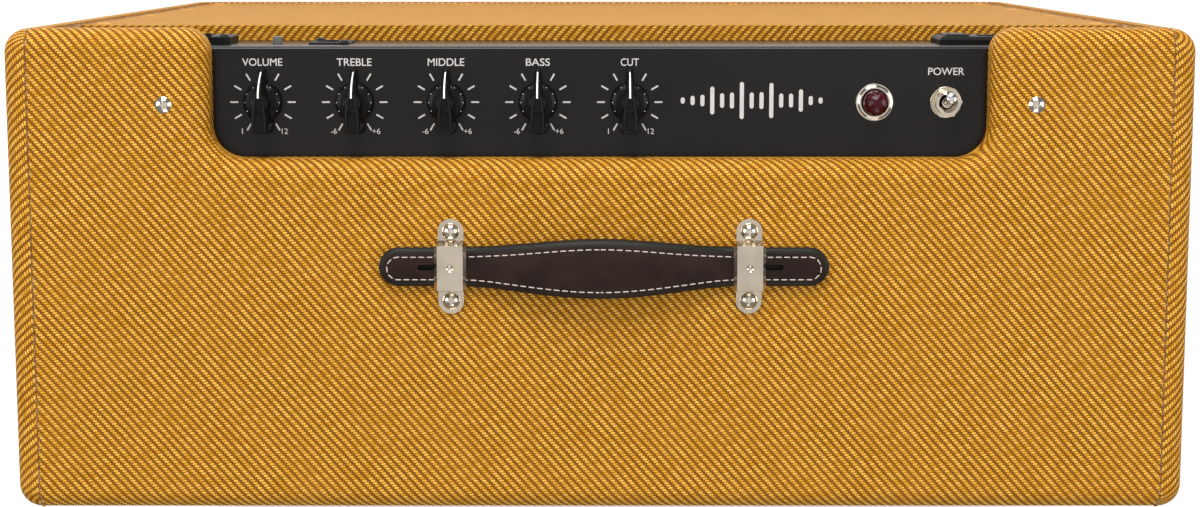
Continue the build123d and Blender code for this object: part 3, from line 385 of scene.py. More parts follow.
def circuit_board():
    """Green glass-fibre board with lighter tracks."""
    radians_per_metre = (900, 1400)
    shader = Shader("circuit_board", roughness=0.4)
    x, y, _ = shader.split(shader.place())
    lengthways = shader.math("SINE", shader.times(x, radians_per_metre[0]))
    crossways = shader.math("SINE", shader.times(y, radians_per_metre[1]))
    tracks = shader.times(lengthways, crossways)
    shader.colour(shader.mix(shader.ramp(tracks, 0.2, 0.3), rgb(12, 62, 34), rgb(30, 104, 60)))
    shader.bump(tracks, 0.03 * MM, 0.3)
    return shader.material


MATERIALS = {
    "tweed": tweed_cloth(),
    "thread": edge_thread(),
    "seam": seam_gap(),
    "grille": grille_weave(),
    "leather": strap_leather(),
    "edge": edge_paint(),
    "stitch": stitch_thread(),
    "nickel": metal("nickel_plate", rgb(222, 208, 188), 0.17),
    "bright_nickel": metal("bright_nickel", rgb(232, 222, 206), 0.08),
    "chrome": metal("chrome_plate", rgb(232, 232, 230), 0.10),
    "zinc": metal("zinc_plate", rgb(190, 190, 184), 0.34, 0.3),
    "brass": metal("brass_plate", rgb(214, 178, 108), 0.28),
    "aluminium": metal("aluminium_fins", rgb(200, 200, 202), 0.36, 0.5),
    "panel": panel_steel(),
    "ink": panel_ink(),
    "emblem": emblem_silver(),
    "knob": plastic("knob_gloss", rgb(9, 8, 8), rgb(17, 16, 16), 0.34, 300, 0.02, 0.14),
    "pointer": plastic("white_paint_and_tick_reflections", rgb(214, 212, 206), rgb(236, 235, 230), 0.4),
    "black": plastic("connector_black", rgb(14, 14, 14), rgb(24, 24, 24), 0.42, gloss=0.12),
    "grey": plastic("button_grey", rgb(92, 91, 88), rgb(116, 115, 111), 0.45),
    "screw_gold": plastic("lacquered_screw", rgb(180, 124, 44), rgb(200, 144, 62), 0.5),
    "rubber": plastic("foot_rubber", rgb(20, 20, 20), rgb(34, 33, 32), 0.75, 1500, 0.10),
    "screw_black": metal("black_screw", rgb(44, 42, 42), 0.30),
    "ruby": ruby_glass(),
    "wood": board_wood(),
    "paper": speaker_paper("cone_paper", rgb(30, 29, 28), rgb(58, 56, 53)),
    "surround": speaker_paper("surround_cloth", rgb(20, 19, 18), rgb(38, 36, 34), 5 * MM),
    "spider": speaker_paper("spider_cloth", rgb(150, 104, 42), rgb(196, 148, 74)),
    "board": circuit_board(),
    "ferrite": plastic("ferrite_black", rgb(44, 44, 48), rgb(66, 66, 70), 0.6, 700, 0.08),
    "can": plastic("can_sleeve", rgb(20, 22, 40), rgb(34, 38, 62), 0.3),
}

NODE_MATERIALS = {
    "wood": [
        "cabinet_top", "cabinet_bottom", "cabinet_side_left", "cabinet_side_right", "cabinet_cleats",
        "baffle_board", "grille_frame", "back_panel",
    ],
    "nickel": ["handle_cap_left", "handle_cap_right", "panel_nuts"],
    "bright_nickel": ["top_screws", "toggle_body"],
    "panel": ["chassis_shell", "woofer_basket"],
    "zinc": ["chassis_cover", "potentiometers", "magnet_plates", "woofer_screws"],
    "black": [
        "combo_jack", "jack_latch", "line_out_socket", "power_inlet", "fuse_drawer", "horn_flare",
        "speaker_lead",
    ],
    "screw_black": ["connector_screws"],
    "grey": ["ground_lift_button", "lamp_socket"],
    "brass": ["connector_pins", "voice_coil"],
    "screw_gold": ["cabinet_screws"],
    "board": ["amplifier_board"],
    "aluminium": ["heatsink"],
    "ferrite": ["power_transformer", "woofer_magnet", "horn_driver"],
    "can": ["capacitors"],
    "rubber": ["rubber_feet"],
    "paper": ["woofer_cone", "woofer_dust_cap"],
    "surround": ["woofer_surround"],
    "spider": ["woofer_spider"],
}


# ---------------------------------------------------------------- mesh helpers

def in_scene(name, data):
    """New object for a mesh, lamp, lens or font, in the scene."""
    piece = bpy.data.objects.new(name, data)
    bpy.context.scene.collection.objects.link(piece)
    return piece


def new_object(name, mesh, *materials):
    """Object with the given materials; clearing resets which face has which, so only copies are cleared."""
    piece = in_scene(name, mesh)
    if len(mesh.materials):
        mesh.materials.clear()
    for key in materials:
        mesh.materials.append(MATERIALS[key])
    return piece


def from_bmesh(name, source, *materials, smooth=True, crease=None):
    """Object made from an edited mesh, which is used up; edges over crease degrees are kept sharp."""
    mesh = bpy.data.meshes.new(name)
    bmesh.ops.recalc_face_normals(source, faces=source.faces)
    source.to_mesh(mesh)
    source.free()
    for polygon in mesh.polygons:
        polygon.use_smooth = smooth
    if crease:
        mesh.set_sharp_from_angle(angle=math.radians(crease))
    return new_object(name, mesh, *materials)


def skin_rings(target, rings, closed=True):
    """Faces between rings of points, with both ends closed by flat faces unless told otherwise."""
    loops = [[target.verts.new(point) for point in ring] for ring in rings]
    count = len(loops[0])
    for lower, upper in zip(loops, loops[1:]):
        for i in range(count):
            j = (i + 1) % count
            target.faces.new((lower[i], lower[j], upper[j], upper[i]))
    if closed:
        target.faces.new(loops[0][::-1])
        target.faces.new(loops[-1])


def circle(radius, centre, count, height):
    """Points of a level circle."""
    step = 2 * math.pi / count
    return [
        Vector((centre[0] + radius * math.cos(i * step), centre[1] + radius * math.sin(i * step), height))
        for i in range(count)
    ]


def capsule(target, start, end, radius, count=6):
    """Rod with rounded ends between two points."""
    along = (end - start).normalized()
    side = along.cross(Vector((0, 0, 1)))
    if side.length < 0.1:
        side = along.cross(Vector((1, 0, 0)))
    side.normalize()
    up = side.cross(along)
    rings = []
    for share, size in ((0.0, 0.25), (0.06, 0.75), (0.2, 1.0), (0.8, 1.0), (0.94, 0.75), (1.0, 0.25)):
        centre = start.lerp(end, share)
        ring = []
        for i in range(count):
            angle = 2 * math.pi * i / count
            ring.append(centre + (side * math.cos(angle) + up * math.sin(angle)) * radius * size)
        rings.append(ring)
    skin_rings(target, rings)


def plate(target, outline, low, high):
    """Flat plate with a given outline between two heights."""
    skin_rings(target, [[Vector((x, y, z)) for x, y in outline] for z in (low, high)])


def soften(name, width):
    """Rounds the sharp edges of a CAD node with modifiers alone."""
    node = NODES[name]
    weld = node.modifiers.new("weld", "WELD")
    weld.merge_threshold = 0.002 * MM
    bevel = node.modifiers.new("bevel", "BEVEL")
    bevel.width = width
    bevel.segments = 2
    bevel.limit_method = "ANGLE"
    bevel.angle_limit = math.radians(38)
    bevel.harden_normals = True


# ---------------------------------------------------------------- tweed covering

# Angles between a surface's normal and the vertical, in radians: up to FLAT the cloth lies level, from STEEP
# it may hang down a face, and from UPRIGHT it does
FLAT = 0.05
STEEP = 1.2
UPRIGHT = 1.5
SHORTEST_LEAN = 0.02


def flat_top_uv(point, normal):
    """Weave coordinates, in mm, of the cloth that lies on the top and runs down its edges."""
    level = Vector((normal.x, normal.y, 0))
    if level.length < SHORTEST_LEAN:
        return point.x / MM, point.y / MM
    angle = math.acos(max(-1.0, min(1.0, normal.z)))
    level.normalize()
    edge = TOP_Z - RIM_RADIUS
    drop = max(0.0, edge - point.z) if angle > STEEP else 0.0
    turn = min(angle, math.pi / 2)
    reach = RIM_RADIUS * (turn - math.sin(turn)) + drop
    return (point.x + level.x * reach) / MM, (point.y + level.y * reach) / MM


def bottom_uv(point, normal):
    """Weave coordinates, in mm, of the bottom's cloth: the top's layout turned upside down."""
    return flat_top_uv(
        Vector((point.x, point.y, TOP_Z + BOTTOM_Z - point.z)), Vector((normal.x, normal.y, -normal.z)),
    )


def side_uv(point, normal):
    """Weave coordinates, in mm, of the cloth that wraps a side, led into the top's layout round the rim."""
    along, height = side_wrap(point, normal)
    rounds_over = 0.07
    if normal.z > rounds_over:
        plan_x, plan_y = flat_top_uv(point, normal)
        spine = (TOP_Z - RIM_RADIUS * (1 - math.pi / 2) + HALF_WIDTH - RIM_RADIUS) / MM
        share = smooth_step(math.acos(min(1.0, normal.z)) / (math.pi / 2))
        along += (plan_y - along) * (1 - share)
        height += (spine - abs(plan_x) - height) * (1 - share)
    hand = 1 if point.x > 0 else -1
    return hand * along, height


def side_wrap(point, normal):
    """Distances, in mm, along a side's plan and up its cloth."""
    level = Vector((normal.x, normal.y, 0))
    angle = math.acos(max(-1.0, min(1.0, abs(normal.z))))
    if level.length < SHORTEST_LEAN:
        level = Vector((math.copysign(1.0, point.x), 0, 0))
    level.normalize()
    turn = math.atan2(level.y, abs(level.x))
    small = CORNER_RADIUS - RIM_RADIUS * (1 - math.sin(angle))
    along = point.y - small * math.sin(turn) + CORNER_RADIUS * turn
    inward = max(0.0, HALF_WIDTH - RIM_RADIUS - abs(point.x)) if angle < FLAT else 0.0
    upward = normal.z >= 0
    rise = RIM_RADIUS * (math.pi / 2 - angle) + inward
    if angle > UPRIGHT:
        return along / MM, point.z / MM
    spine = TOP_Z - RIM_RADIUS if upward else BOTTOM_Z + RIM_RADIUS
    return along / MM, (spine + rise) / MM if upward else (spine - rise) / MM


def back_uv(point, normal):
    """Weave coordinates, in mm, of the cloth on the back panel and over its top edge."""
    over_edge = REAR_Y - point.y if normal.z > 0.5 else 0.0
    return point.x / MM, (point.z + over_edge) / MM


def covered(node, rule, piece_name):
    """Cloth glued over a board, with the shape of its CAD node and its weave laid out by a rule."""
    mesh = NODES[node].data.copy()
    mesh.name = piece_name
    layer = mesh.uv_layers.get("weave") or mesh.uv_layers.new(name="weave")
    normals = mesh.corner_normals
    for loop in mesh.loops:
        layer.data[loop.index].uv = rule(mesh.vertices[loop.vertex_index].co, normals[loop.index].vector)
    piece = new_object(piece_name, mesh, "tweed")
    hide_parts(node)
    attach(piece, "cabinet")


def tweed_covering():
    """The five pieces of cloth glued over the cabinet's boards."""
    covered("tweed_top", flat_top_uv, "tweed_top_cloth")
    covered("tweed_bottom", bottom_uv, "tweed_bottom_cloth")
    covered("tweed_left", side_uv, "tweed_left_cloth")
    covered("tweed_right", side_uv, "tweed_right_cloth")
    covered("tweed_back", back_uv, "tweed_back_cloth")


def rim_profile():
    """Points and outward normals along Y and Z, from the front face over the top to the rear face."""
    bend_steps = 8
    top_steps = 60
    front_spine = Vector((0, TOP_FRONT_Y + RIM_RADIUS, TOP_Z - RIM_RADIUS))
    rear_spine = Vector((0, REAR_Y - RIM_RADIUS, TOP_Z - RIM_RADIUS))
    bend = [math.pi / 2 * i / bend_steps for i in range(bend_steps + 1)]
    up = Vector((0, 0, 1))
    points = []
    for angle in bend:
        normal = Vector((0, -math.cos(angle), math.sin(angle)))
        points.append((front_spine + normal * RIM_RADIUS, normal))
    for i in range(1, top_steps):
        points.append((front_spine.lerp(rear_spine, i / top_steps) + up * RIM_RADIUS, up))
    for angle in reversed(bend):
        normal = Vector((0, math.cos(angle), math.sin(angle)))
        points.append((rear_spine + normal * RIM_RADIUS, normal))
    return points


def seam_gap_piece(side, profile):
    """Dark gap, a little uneven, where a side's cloth meets the top's cloth."""
    sunk = 0.3 * MM
    proud = 0.06 * MM
    line = bmesh.new()
    rings = []
    for point, normal in profile:
        wobble = 0.12 * MM * math.sin(point.y * 900) + random.uniform(-0.08, 0.08) * MM
        centre = point + Vector((side * SEAM_X + wobble, 0, 0))
        half = Vector((random.uniform(0.22, 0.40) * MM, 0, 0))
        low = centre - normal * sunk
        high = centre + normal * proud
        rings.append([low - half, low + half, high + half, high - half])
    skin_rings(line, rings)
    return from_bmesh(f"seam_gap_{SIDE_NAMES[side]}", line, "seam", smooth=False)


def seam_threads_piece(side, profile):
    """Short frayed threads that lie over the gap in all directions."""
    thread_radius = 0.07 * MM
    shortest = 0.4 * MM
    lift = 0.12 * MM
    thread_count = 260
    frays = bmesh.new()
    for _ in range(thread_count):
        spot = random.uniform(0, len(profile) - 2)
        first, normal = profile[int(spot)]
        second = profile[int(spot) + 1][0]
        point = first.lerp(second, spot % 1)
        start = point + Vector((side * SEAM_X + random.uniform(-0.5, 0.5) * MM, 0, 0)) + normal * lift
        along = (second - first).normalized()
        reach = along * random.uniform(-0.8, 0.8) * MM + Vector((random.uniform(-1.0, 1.0) * MM, 0, 0))
        if reach.length > shortest:
            end = start + reach + normal * random.uniform(-0.05, 0.15) * MM
            capsule(frays, start, end, thread_radius, 4)
    return from_bmesh(f"seam_threads_{SIDE_NAMES[side]}", frays, "thread")


def seam_line(side):
    """Gap and threads of one seam along the rim."""
    profile = rim_profile()
    for piece in (seam_gap_piece(side, profile), seam_threads_piece(side, profile)):
        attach(piece, "cabinet")


# ---------------------------------------------------------------- carrying handle

# Plan of the strap, from its middle; the right end reaches further through its cap than the left
STRAP_REACH = {-1: 111.0 * MM, 1: 115.0 * MM}
STRAP_END_HALF = 9.9 * MM
STRAP_MIDDLE_HALF = 15 * MM
SWELL_REACH = 74 * MM
SLOT_START = 73 * MM
SLOT_END = {-1: 91.4 * MM, 1: 92.0 * MM}
SLOT_HALF = 1.45 * MM

# Heights above the cabinet, and the reach of the arch that lifts the middle
STRAP_END_LOW = 1.4 * MM
STRAP_END_TOP = 5.4 * MM
STRAP_MIDDLE_LOW = 6.6 * MM
STRAP_MIDDLE_TOP = 14.8 * MM
FLAT_FROM = 62 * MM
EDGE_RADIUS = 2.2 * MM
# Leather left under each slot: a dark floor as painted shade, where the real slot goes through to the cloth
SLOT_SHADE_FLOOR = 0.5 * MM

# Edge paint, as widths of its band, and the seam, which lies a little nearer the front edge
PAINTED_REAR = 3.0 * MM
PAINTED_FRONT = 1.8 * MM
PAINTED_END = 2.4 * MM
STITCH_INSET = 4.2 * MM
STITCH_SHIFT = 0.5 * MM
STITCH_PITCH = 4.2 * MM
STITCH_LENGTH = 3.1 * MM
SHORTEST_STITCH = 1.2 * MM
THREAD_RADIUS = 0.32 * MM
THREAD_LIFT = 0.12 * MM


def smooth_step(value):
    """Value held to 0-1 and eased at both ends."""
    value = max(0.0, min(1.0, value))
    return value * value * (3 - 2 * value)


def strap_half_width(x):
    """Half width of the strap in plan: swollen in the middle, round at its ends."""
    reach = STRAP_REACH[-1 if x < 0 else 1]
    least_half = 0.4 * MM
    x = abs(x)
    over = x - (reach - STRAP_END_HALF)
    if over > 0:
        return math.sqrt(max(STRAP_END_HALF ** 2 - over ** 2, least_half ** 2))
    return STRAP_END_HALF + (STRAP_MIDDLE_HALF - STRAP_END_HALF) * smooth_step(1 - x / SWELL_REACH)


def strap_heights(x):
    """Underside and top of the strap above the cabinet."""
    bow = max(0.0, 1 - (abs(x) / FLAT_FROM) ** 2)
    arch = 0.35 * smooth_step(bow) + 0.65 * bow
    low = STRAP_END_LOW + (STRAP_MIDDLE_LOW - STRAP_END_LOW) * arch
    top = STRAP_END_TOP + (STRAP_MIDDLE_TOP - STRAP_END_TOP) * arch
    return low, top


def strap_top_at(x, y):
    """Height of the strap's crowned top at a point of its plan."""
    low, top = strap_heights(x)
    share = min(1.0, abs(y) / strap_half_width(x))
    fall = 0.30 * (top - low) * share ** 2.4
    return TOP_Z + top - fall


def section_offsets(half):
    """Distances of a section's points from the strap's middle line, front to rear."""
    narrow = 6 * MM
    shrink = min(1.0, half / narrow)
    outer = [half - inset * shrink for inset in (0.0, 0.3 * MM, 0.8 * MM, PAINTED_FRONT, PAINTED_REAR)]
    rear = outer + [outer[-1] * share for share in (0.75, 0.5, 0.25)]
    return [-y for y in rear] + [0.0] + rear[::-1]


def strap_section(x):
    """Points of the strap's cross-section at x, round the section."""
    low, _ = strap_heights(x)
    half = strap_half_width(x)
    upper = []
    lower = []
    for y in section_offsets(half):
        inside = min(1.0, (half - abs(y)) / EDGE_RADIUS)
        rounding = EDGE_RADIUS * (1 - math.sqrt(max(0.0, 1 - (1 - inside) ** 2)))
        upper.append(Vector((x, HANDLE_Y + y, strap_top_at(x, y) - 0.8 * rounding)))
        lower.append(Vector((x, HANDLE_Y + y, TOP_Z + low + 0.5 * rounding)))
    return upper + lower[::-1]


def half_strap(side):
    """One half of the strap from its middle to its round end, its edges painted."""
    straight_steps = 58
    end_steps = 16
    reach = STRAP_REACH[side]
    start = reach - STRAP_END_HALF
    xs = [start * i / straight_steps for i in range(straight_steps + 1)]
    xs += [start + STRAP_END_HALF * math.sin(math.pi / 2 * i / end_steps) for i in range(1, end_steps + 1)]
    body = bmesh.new()
    skin_rings(body, [strap_section(side * x) for x in xs])
    for face in body.faces:
        centre = face.calc_center_median()
        painted = PAINTED_REAR if centre.y > HANDLE_Y else PAINTED_FRONT
        inset = strap_half_width(centre.x) - abs(centre.y - HANDLE_Y)
        from_end = reach - abs(centre.x)
        low_side = centre.z < TOP_Z + sum(strap_heights(centre.x)) / 2
        if inset < painted or from_end < PAINTED_END or low_side:
            face.material_index = 1
    return from_bmesh(f"handle_strap_{SIDE_NAMES[side]}", body, "leather", "edge")


def slot_cutter(side):
    """Round-ended plug that cuts the slot near one end of the strap."""
    end_steps = 8
    outline = []
    for centre_x, first in ((SLOT_START, math.pi / 2), (SLOT_END[side] - SLOT_HALF, -math.pi / 2)):
        for i in range(end_steps + 1):
            angle = first + math.pi * i / end_steps
            outline.append((
                side * (centre_x + SLOT_HALF * math.cos(angle)), HANDLE_Y + SLOT_HALF * math.sin(angle),
            ))
    cutter = bmesh.new()
    # The cut stops above the strap's underside, so the slot gets a dark floor as painted shade
    plate(cutter, outline, TOP_Z + STRAP_END_LOW + SLOT_SHADE_FLOOR, TOP_Z + STRAP_MIDDLE_TOP)
    return from_bmesh(f"slot_cutter_{SIDE_NAMES[side]}", cutter, "edge")


def strap_piece(side):
    """One half of the strap, with a slot near its end that stops short of its underside, leaving a dark floor
    in the slot as painted shade where the real slot goes through.
    """
    strap = half_strap(side)
    tool = slot_cutter(side)
    cut = strap.modifiers.new("slot", "BOOLEAN")
    cut.object = tool
    cut.solver = "EXACT"
    strap.data = bpy.data.meshes.new_from_object(strap.evaluated_get(bpy.context.evaluated_depsgraph_get()))
    strap.modifiers.clear()
    bpy.data.objects.remove(tool)
    strap.data.set_sharp_from_angle(angle=math.radians(40))
    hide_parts(f"handle_end_{SIDE_NAMES[side]}", "handle_grip")
    return strap


def stitch_route(side):
    """Plan of the seam on one half: along the rear edge, round the end and back along the front edge."""
    edge_steps = 120
    end_steps = 12
    end_centre = STRAP_REACH[side] - STRAP_END_HALF
    end_radius = STRAP_END_HALF - STITCH_INSET
    route = []
    for i in range(edge_steps + 1):
        x = end_centre * i / edge_steps
        route.append(Vector((x, strap_half_width(side * x) - STITCH_INSET)))
    for i in range(1, end_steps + 1):
        angle = math.pi / 2 * i / end_steps
        route.append(Vector((end_centre + end_radius * math.sin(angle), end_radius * math.cos(angle))))
    route += [Vector((point.x, -point.y)) for point in reversed(route[:-1])]
    return [point - Vector((0, STITCH_SHIFT)) for point in route]


def strap_stitches(side):
    """Line of stitches inside the edge of one half of the strap."""
    middle_gap = 0.3 * MM
    route = stitch_route(side)
    thread = bmesh.new()
    travelled = 0.35 * STITCH_PITCH
    for first, second in zip(route, route[1:]):
        step = (second - first).length
        half = (second - first).normalized() * STITCH_LENGTH / 2
        while travelled < step:
            middle = first.lerp(second, travelled / step)
            ends = []
            for point in (middle - half, middle + half):
                x = side * max(point.x, middle_gap)
                ends.append(Vector((x, HANDLE_Y + point.y, strap_top_at(x, point.y) + THREAD_LIFT)))
            if (ends[1] - ends[0]).length > SHORTEST_STITCH:
                capsule(thread, ends[0], ends[1], THREAD_RADIUS)
            travelled += STITCH_PITCH
        travelled -= step
    return from_bmesh(f"strap_stitching_{SIDE_NAMES[side]}", thread, "stitch")


def handle():
    """Both halves of the strap with their stitches, their placements baked into their meshes."""
    for side, name in SIDE_NAMES.items():
        for piece in (strap_piece(side), strap_stitches(side)):
            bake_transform(piece)


# ---------------------------------------------------------------- control panel

# Knob, in mm: heights above its foot, and distances from its axis along the pointer (forwards) and the tail
KNOB_HEIGHT = 15.0
RIDGE_LOW = 1.4
RIDGE_TOP = 14.85
POINTER_TIP = 16.2
RIDGE_WAIST = 2.6
RIDGE_TAIL = 13.8
TAIL_END = 15.0
# Radius of the ring of painted reflections of the dial's marks on the knob's skirt
TICK_REFLECTION_RADIUS = 8.7

# Dial of a knob: eleven marks 30 degrees apart, the first and last at the ends of its turn
DIAL_MARKS = 11
DIAL_STEP = math.radians(30)
DIAL_START = math.radians(90 + 150)
MARK_INNER = 12.6 * MM
MARK_OUTER = 16.6 * MM
MARK_HALF = 0.42 * MM

# Printing: sizes of its capitals and digits, and distances from the controls' axes
INK_LOW = PANEL_Z - 0.05 * MM
INK_TOP = PANEL_Z + 0.06 * MM
LABEL_HEIGHT = 3.8 * MM
LABEL_RISE = 20.3 * MM
LABEL_WIDTHS = {"volume": 20.3, "treble": 17.7, "middle": 18.5, "bass": 12.2, "cut": 9.2, "power": 18.3}
POWER_RISE = 15.6 * MM
NUMBER_HEIGHT = 2.8 * MM
NUMBER_SIDE = 10.8 * MM
NUMBER_DROP = 14.8 * MM
BOLDER = 0.006


def half_ridge():
    """Left half of the knob's ridge in plan, in mm, from the pointer's tip to the tail's corner."""
    steps = 6
    points = []
    for i in range(steps + 1):
        share = i / steps
        points.append((-(0.9 + 1.9 * share ** 1.8), 0.97 * POINTER_TIP * (1 - share) + RIDGE_WAIST * share))
    for i in range(1, steps + 1):
        share = i / steps
        x = -(2.8 + 0.8 * smooth_step(2 * share) + 0.5 * share)
        points.append((x, RIDGE_WAIST - (RIDGE_WAIST + RIDGE_TAIL) * share))
    return points


def knob_outline(grow):
    """Plan of the knob's ridge, as points in mm from its centre; grow moves it outwards."""
    left = half_ridge()
    tail = [(-3.8, 0.3 - TAIL_END), (-3.0, -TAIL_END), (3.0, -TAIL_END), (3.8, 0.3 - TAIL_END)]
    points = [(0.75, POINTER_TIP), (-0.75, POINTER_TIP)] + left + tail + [(-x, y) for x, y in reversed(left)]
    count = len(points)
    grown = []
    for i in range(count):
        along = (Vector(points[(i + 1) % count]) - Vector(points[i - 1])).normalized()
        grown.append(Vector(points[i]) + Vector((along.y, -along.x)) * grow)
    return grown


def nose_drop(y):
    """How far, in mm, the knob's ridge falls towards its pointer."""
    level_to = 3.0
    return 12.0 * (max(0.0, y - level_to) / (POINTER_TIP - level_to)) ** 2


def knob_body(name, place, base):
    """Round skirt and hub with a long ridge over them."""
    body = bmesh.new()
    skirt = [(9.9, 0.0), (9.9, 0.8), (9.6, 1.6), (8.6, 2.6), (6.5, 3.4), (2.0, 3.8)]
    hub = [(4.9, 2.0), (4.6, 13.2), (4.4, 13.8), (3.9, 14.2)]
    for profile in (skirt, hub):
        skin_rings(body, [circle(radius * MM, place, 48, base + z * MM) for radius, z in profile])
    levels = [
        (RIDGE_LOW, 0.9), (3.0, 0.6), (6.0, 0.35), (10.0, 0.1), (13.2, -0.1), (14.2, -0.4), (14.7, -0.8),
        (RIDGE_TOP, -1.3),
    ]
    rings = []
    for height, grow in levels:
        share = (height - RIDGE_LOW) / (RIDGE_TOP - RIDGE_LOW)
        rings.append([
            Vector((place.x + x * MM, place.y + y * MM, base + (height - share * nose_drop(y)) * MM))
            for x, y in knob_outline(grow)
        ])
    skin_rings(body, rings)
    return from_bmesh(f"pointer_knob_{name}", body, "knob", crease=50)


def knob_line_and_tick_reflections(name, place, base):
    """White line along the pointer, and small white dots on the skirt opposite the dial's marks: painted
    reflections of those marks in the glossy skirt.
    """
    line_steps = 8
    line_start = 3.0
    line_length = 12.6
    line_top = 14.97
    depth = 0.8
    line_and_tick_reflections = bmesh.new()
    sections = []
    for i in range(line_steps + 1):
        share = i / line_steps
        y = line_start + line_length * share
        top = line_top - nose_drop(y)
        half = 0.44 - 0.10 * share
        corners = [(-half, top - depth), (half, top - depth), (half, top), (-half, top)]
        sections.append([Vector((place.x + x * MM, place.y + y * MM, base + z * MM)) for x, z in corners])
    skin_rings(line_and_tick_reflections, sections)
    # Painted reflections of the dial's marks: small white dots round the skirt
    for i in reversed(range(DIAL_MARKS)):
        angle = DIAL_START - DIAL_STEP * i
        spot = (place.x + TICK_REFLECTION_RADIUS * MM * math.cos(angle), place.y + TICK_REFLECTION_RADIUS * MM * math.sin(angle))
        skin_rings(line_and_tick_reflections, [circle(0.22 * MM, spot, 8, base + z * MM) for z in (2.1, 2.66)])
    return from_bmesh(f"pointer_line_and_tick_reflections_{name}", line_and_tick_reflections, "pointer", smooth=False)


def pointer_knob(name, place):
    """Chicken-head knob: a round skirt under a long ridge with a white line on its pointer."""
    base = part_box(f"knob_{name}")[1].z - KNOB_HEIGHT * MM
    knob = knob_body(name, place, base)
    line_and_tick_reflections = knob_line_and_tick_reflections(name, place, base)
    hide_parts(f"knob_{name}")
    for piece in (knob, line_and_tick_reflections):
        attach(piece, f"{name}_control")


def dial_ticks(target, place):
    """Radial marks round a knob."""
    centre = place.to_2d()
    for i in range(DIAL_MARKS):
        angle = DIAL_START - DIAL_STEP * i
        out = Vector((math.cos(angle), math.sin(angle)))
        side = Vector((-out.y, out.x)) * MARK_HALF
        inner = centre + out * MARK_INNER
        outer = centre + out * MARK_OUTER
        plate(target, [inner - side, outer - side, outer + side, inner + side], INK_LOW, INK_TOP)


def lettering(target, words, x, y, height, width=None, weight=0.0):
    """Printed word centred on x, y, with capitals of the given height and, if asked, a given width."""
    font = bpy.data.curves.new("lettering", "FONT")
    font.body = words
    font.size = 1.0
    font.offset = weight
    font.extrude = 0.5
    font.align_x = "CENTER"
    holder = in_scene("lettering", font)
    bpy.context.view_layer.update()
    mesh = bpy.data.meshes.new_from_object(holder.evaluated_get(bpy.context.evaluated_depsgraph_get()))
    bpy.data.objects.remove(holder)
    xs = [vertex.co.x for vertex in mesh.vertices]
    ys = [vertex.co.y for vertex in mesh.vertices]
    scale = height / (max(ys) - min(ys))
    stretch = width / (max(xs) - min(xs)) if width else scale
    middle_x = (max(xs) + min(xs)) / 2
    middle_y = (max(ys) + min(ys)) / 2
    for vertex in mesh.vertices:
        level = INK_TOP if vertex.co.z > 0 else INK_LOW
        vertex.co = (x + (vertex.co.x - middle_x) * stretch, y + (vertex.co.y - middle_y) * scale, level)
    target.from_mesh(mesh)
    bpy.data.meshes.remove(mesh)


def panel_printing():
    """Dial marks, their numbers and the plain names of the controls."""
    ink = bmesh.new()
    for name, place in KNOB_PLACES.items():
        dial_ticks(ink, place)
        width = LABEL_WIDTHS[name] * MM
        lettering(ink, name.upper(), place.x, place.y + LABEL_RISE, LABEL_HEIGHT, width, BOLDER)
        low, high = ("1", "12") if name in ("volume", "cut") else ("-6", "+6")
        lettering(ink, low, place.x - NUMBER_SIDE, place.y - NUMBER_DROP, NUMBER_HEIGHT)
        lettering(ink, high, place.x + NUMBER_SIDE, place.y - NUMBER_DROP, NUMBER_HEIGHT)
    toggle = TURNS["power_toggle"]
    lettering(ink, "POWER", toggle.x, toggle.y + POWER_RISE, LABEL_HEIGHT, LABEL_WIDTHS["power"] * MM, BOLDER)
    printing = from_bmesh("panel_printing", ink, "ink", smooth=False)
    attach(printing, "cabinet")


def panel_emblem():
    """Plain ornament of upright rounded bars whose heights swell and fade."""
    count = 15
    centre_x = 77 * MM
    centre_y = 94 * MM
    pitch = 5.0 * MM
    half = 1.05 * MM
    end_steps = 8
    bars = bmesh.new()
    for i in range(count):
        envelope = math.sin(math.pi * i / (count - 1)) ** 0.8
        reach = (1.6 + 8.0 * envelope * (0.55 + 0.45 * math.cos(i * 2.1))) * MM
        x = centre_x + (i - (count - 1) / 2) * pitch
        outline = []
        for end, first in ((1, 0.0), (-1, math.pi)):
            y = centre_y + end * (reach - half)
            for j in range(end_steps + 1):
                angle = first + math.pi * j / end_steps
                outline.append((x + half * math.cos(angle), y + half * math.sin(angle)))
        plate(bars, outline, INK_LOW, INK_TOP)
    emblem = from_bmesh("panel_emblem", bars, "emblem", smooth=False)
    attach(emblem, "cabinet")


# ---------------------------------------------------------------- pilot lamp and toggle

def turned_rings(profile, foot, count, turns=None):
    """Rings from (radius, height) points in mm over a foot, each turned by its own matrix where given."""
    rings = []
    for i, (radius, height) in enumerate(profile):
        ring = circle(radius * MM, (0, 0), count, height * MM)
        rings.append([foot + (turns[i] @ point if turns else point) for point in ring])
    return rings


def on_panel(node):
    """Middle of a node in plan, at the panel's surface."""
    low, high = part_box(node)
    middle = low.lerp(high, 0.5)
    middle.z = PANEL_Z
    return middle


def lamp_ring():
    """Stepped bezel of the pilot lamp in bright nickel."""
    profile = [
        (9.65, 0.0), (9.65, 0.8), (9.4, 1.15), (8.7, 1.25), (8.55, 1.35), (8.4, 2.6), (8.1, 2.95), (7.2, 3.1),
        (6.8, 3.0), (6.6, 2.7), (6.6, 0.0),
    ]
    ring = bmesh.new()
    skin_rings(ring, turned_rings(profile, on_panel("lamp_bezel"), 64), closed=False)
    bezel = from_bmesh("lamp_ring", ring, "bright_nickel", crease=40)
    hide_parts("lamp_bezel")
    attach(bezel, "cabinet")


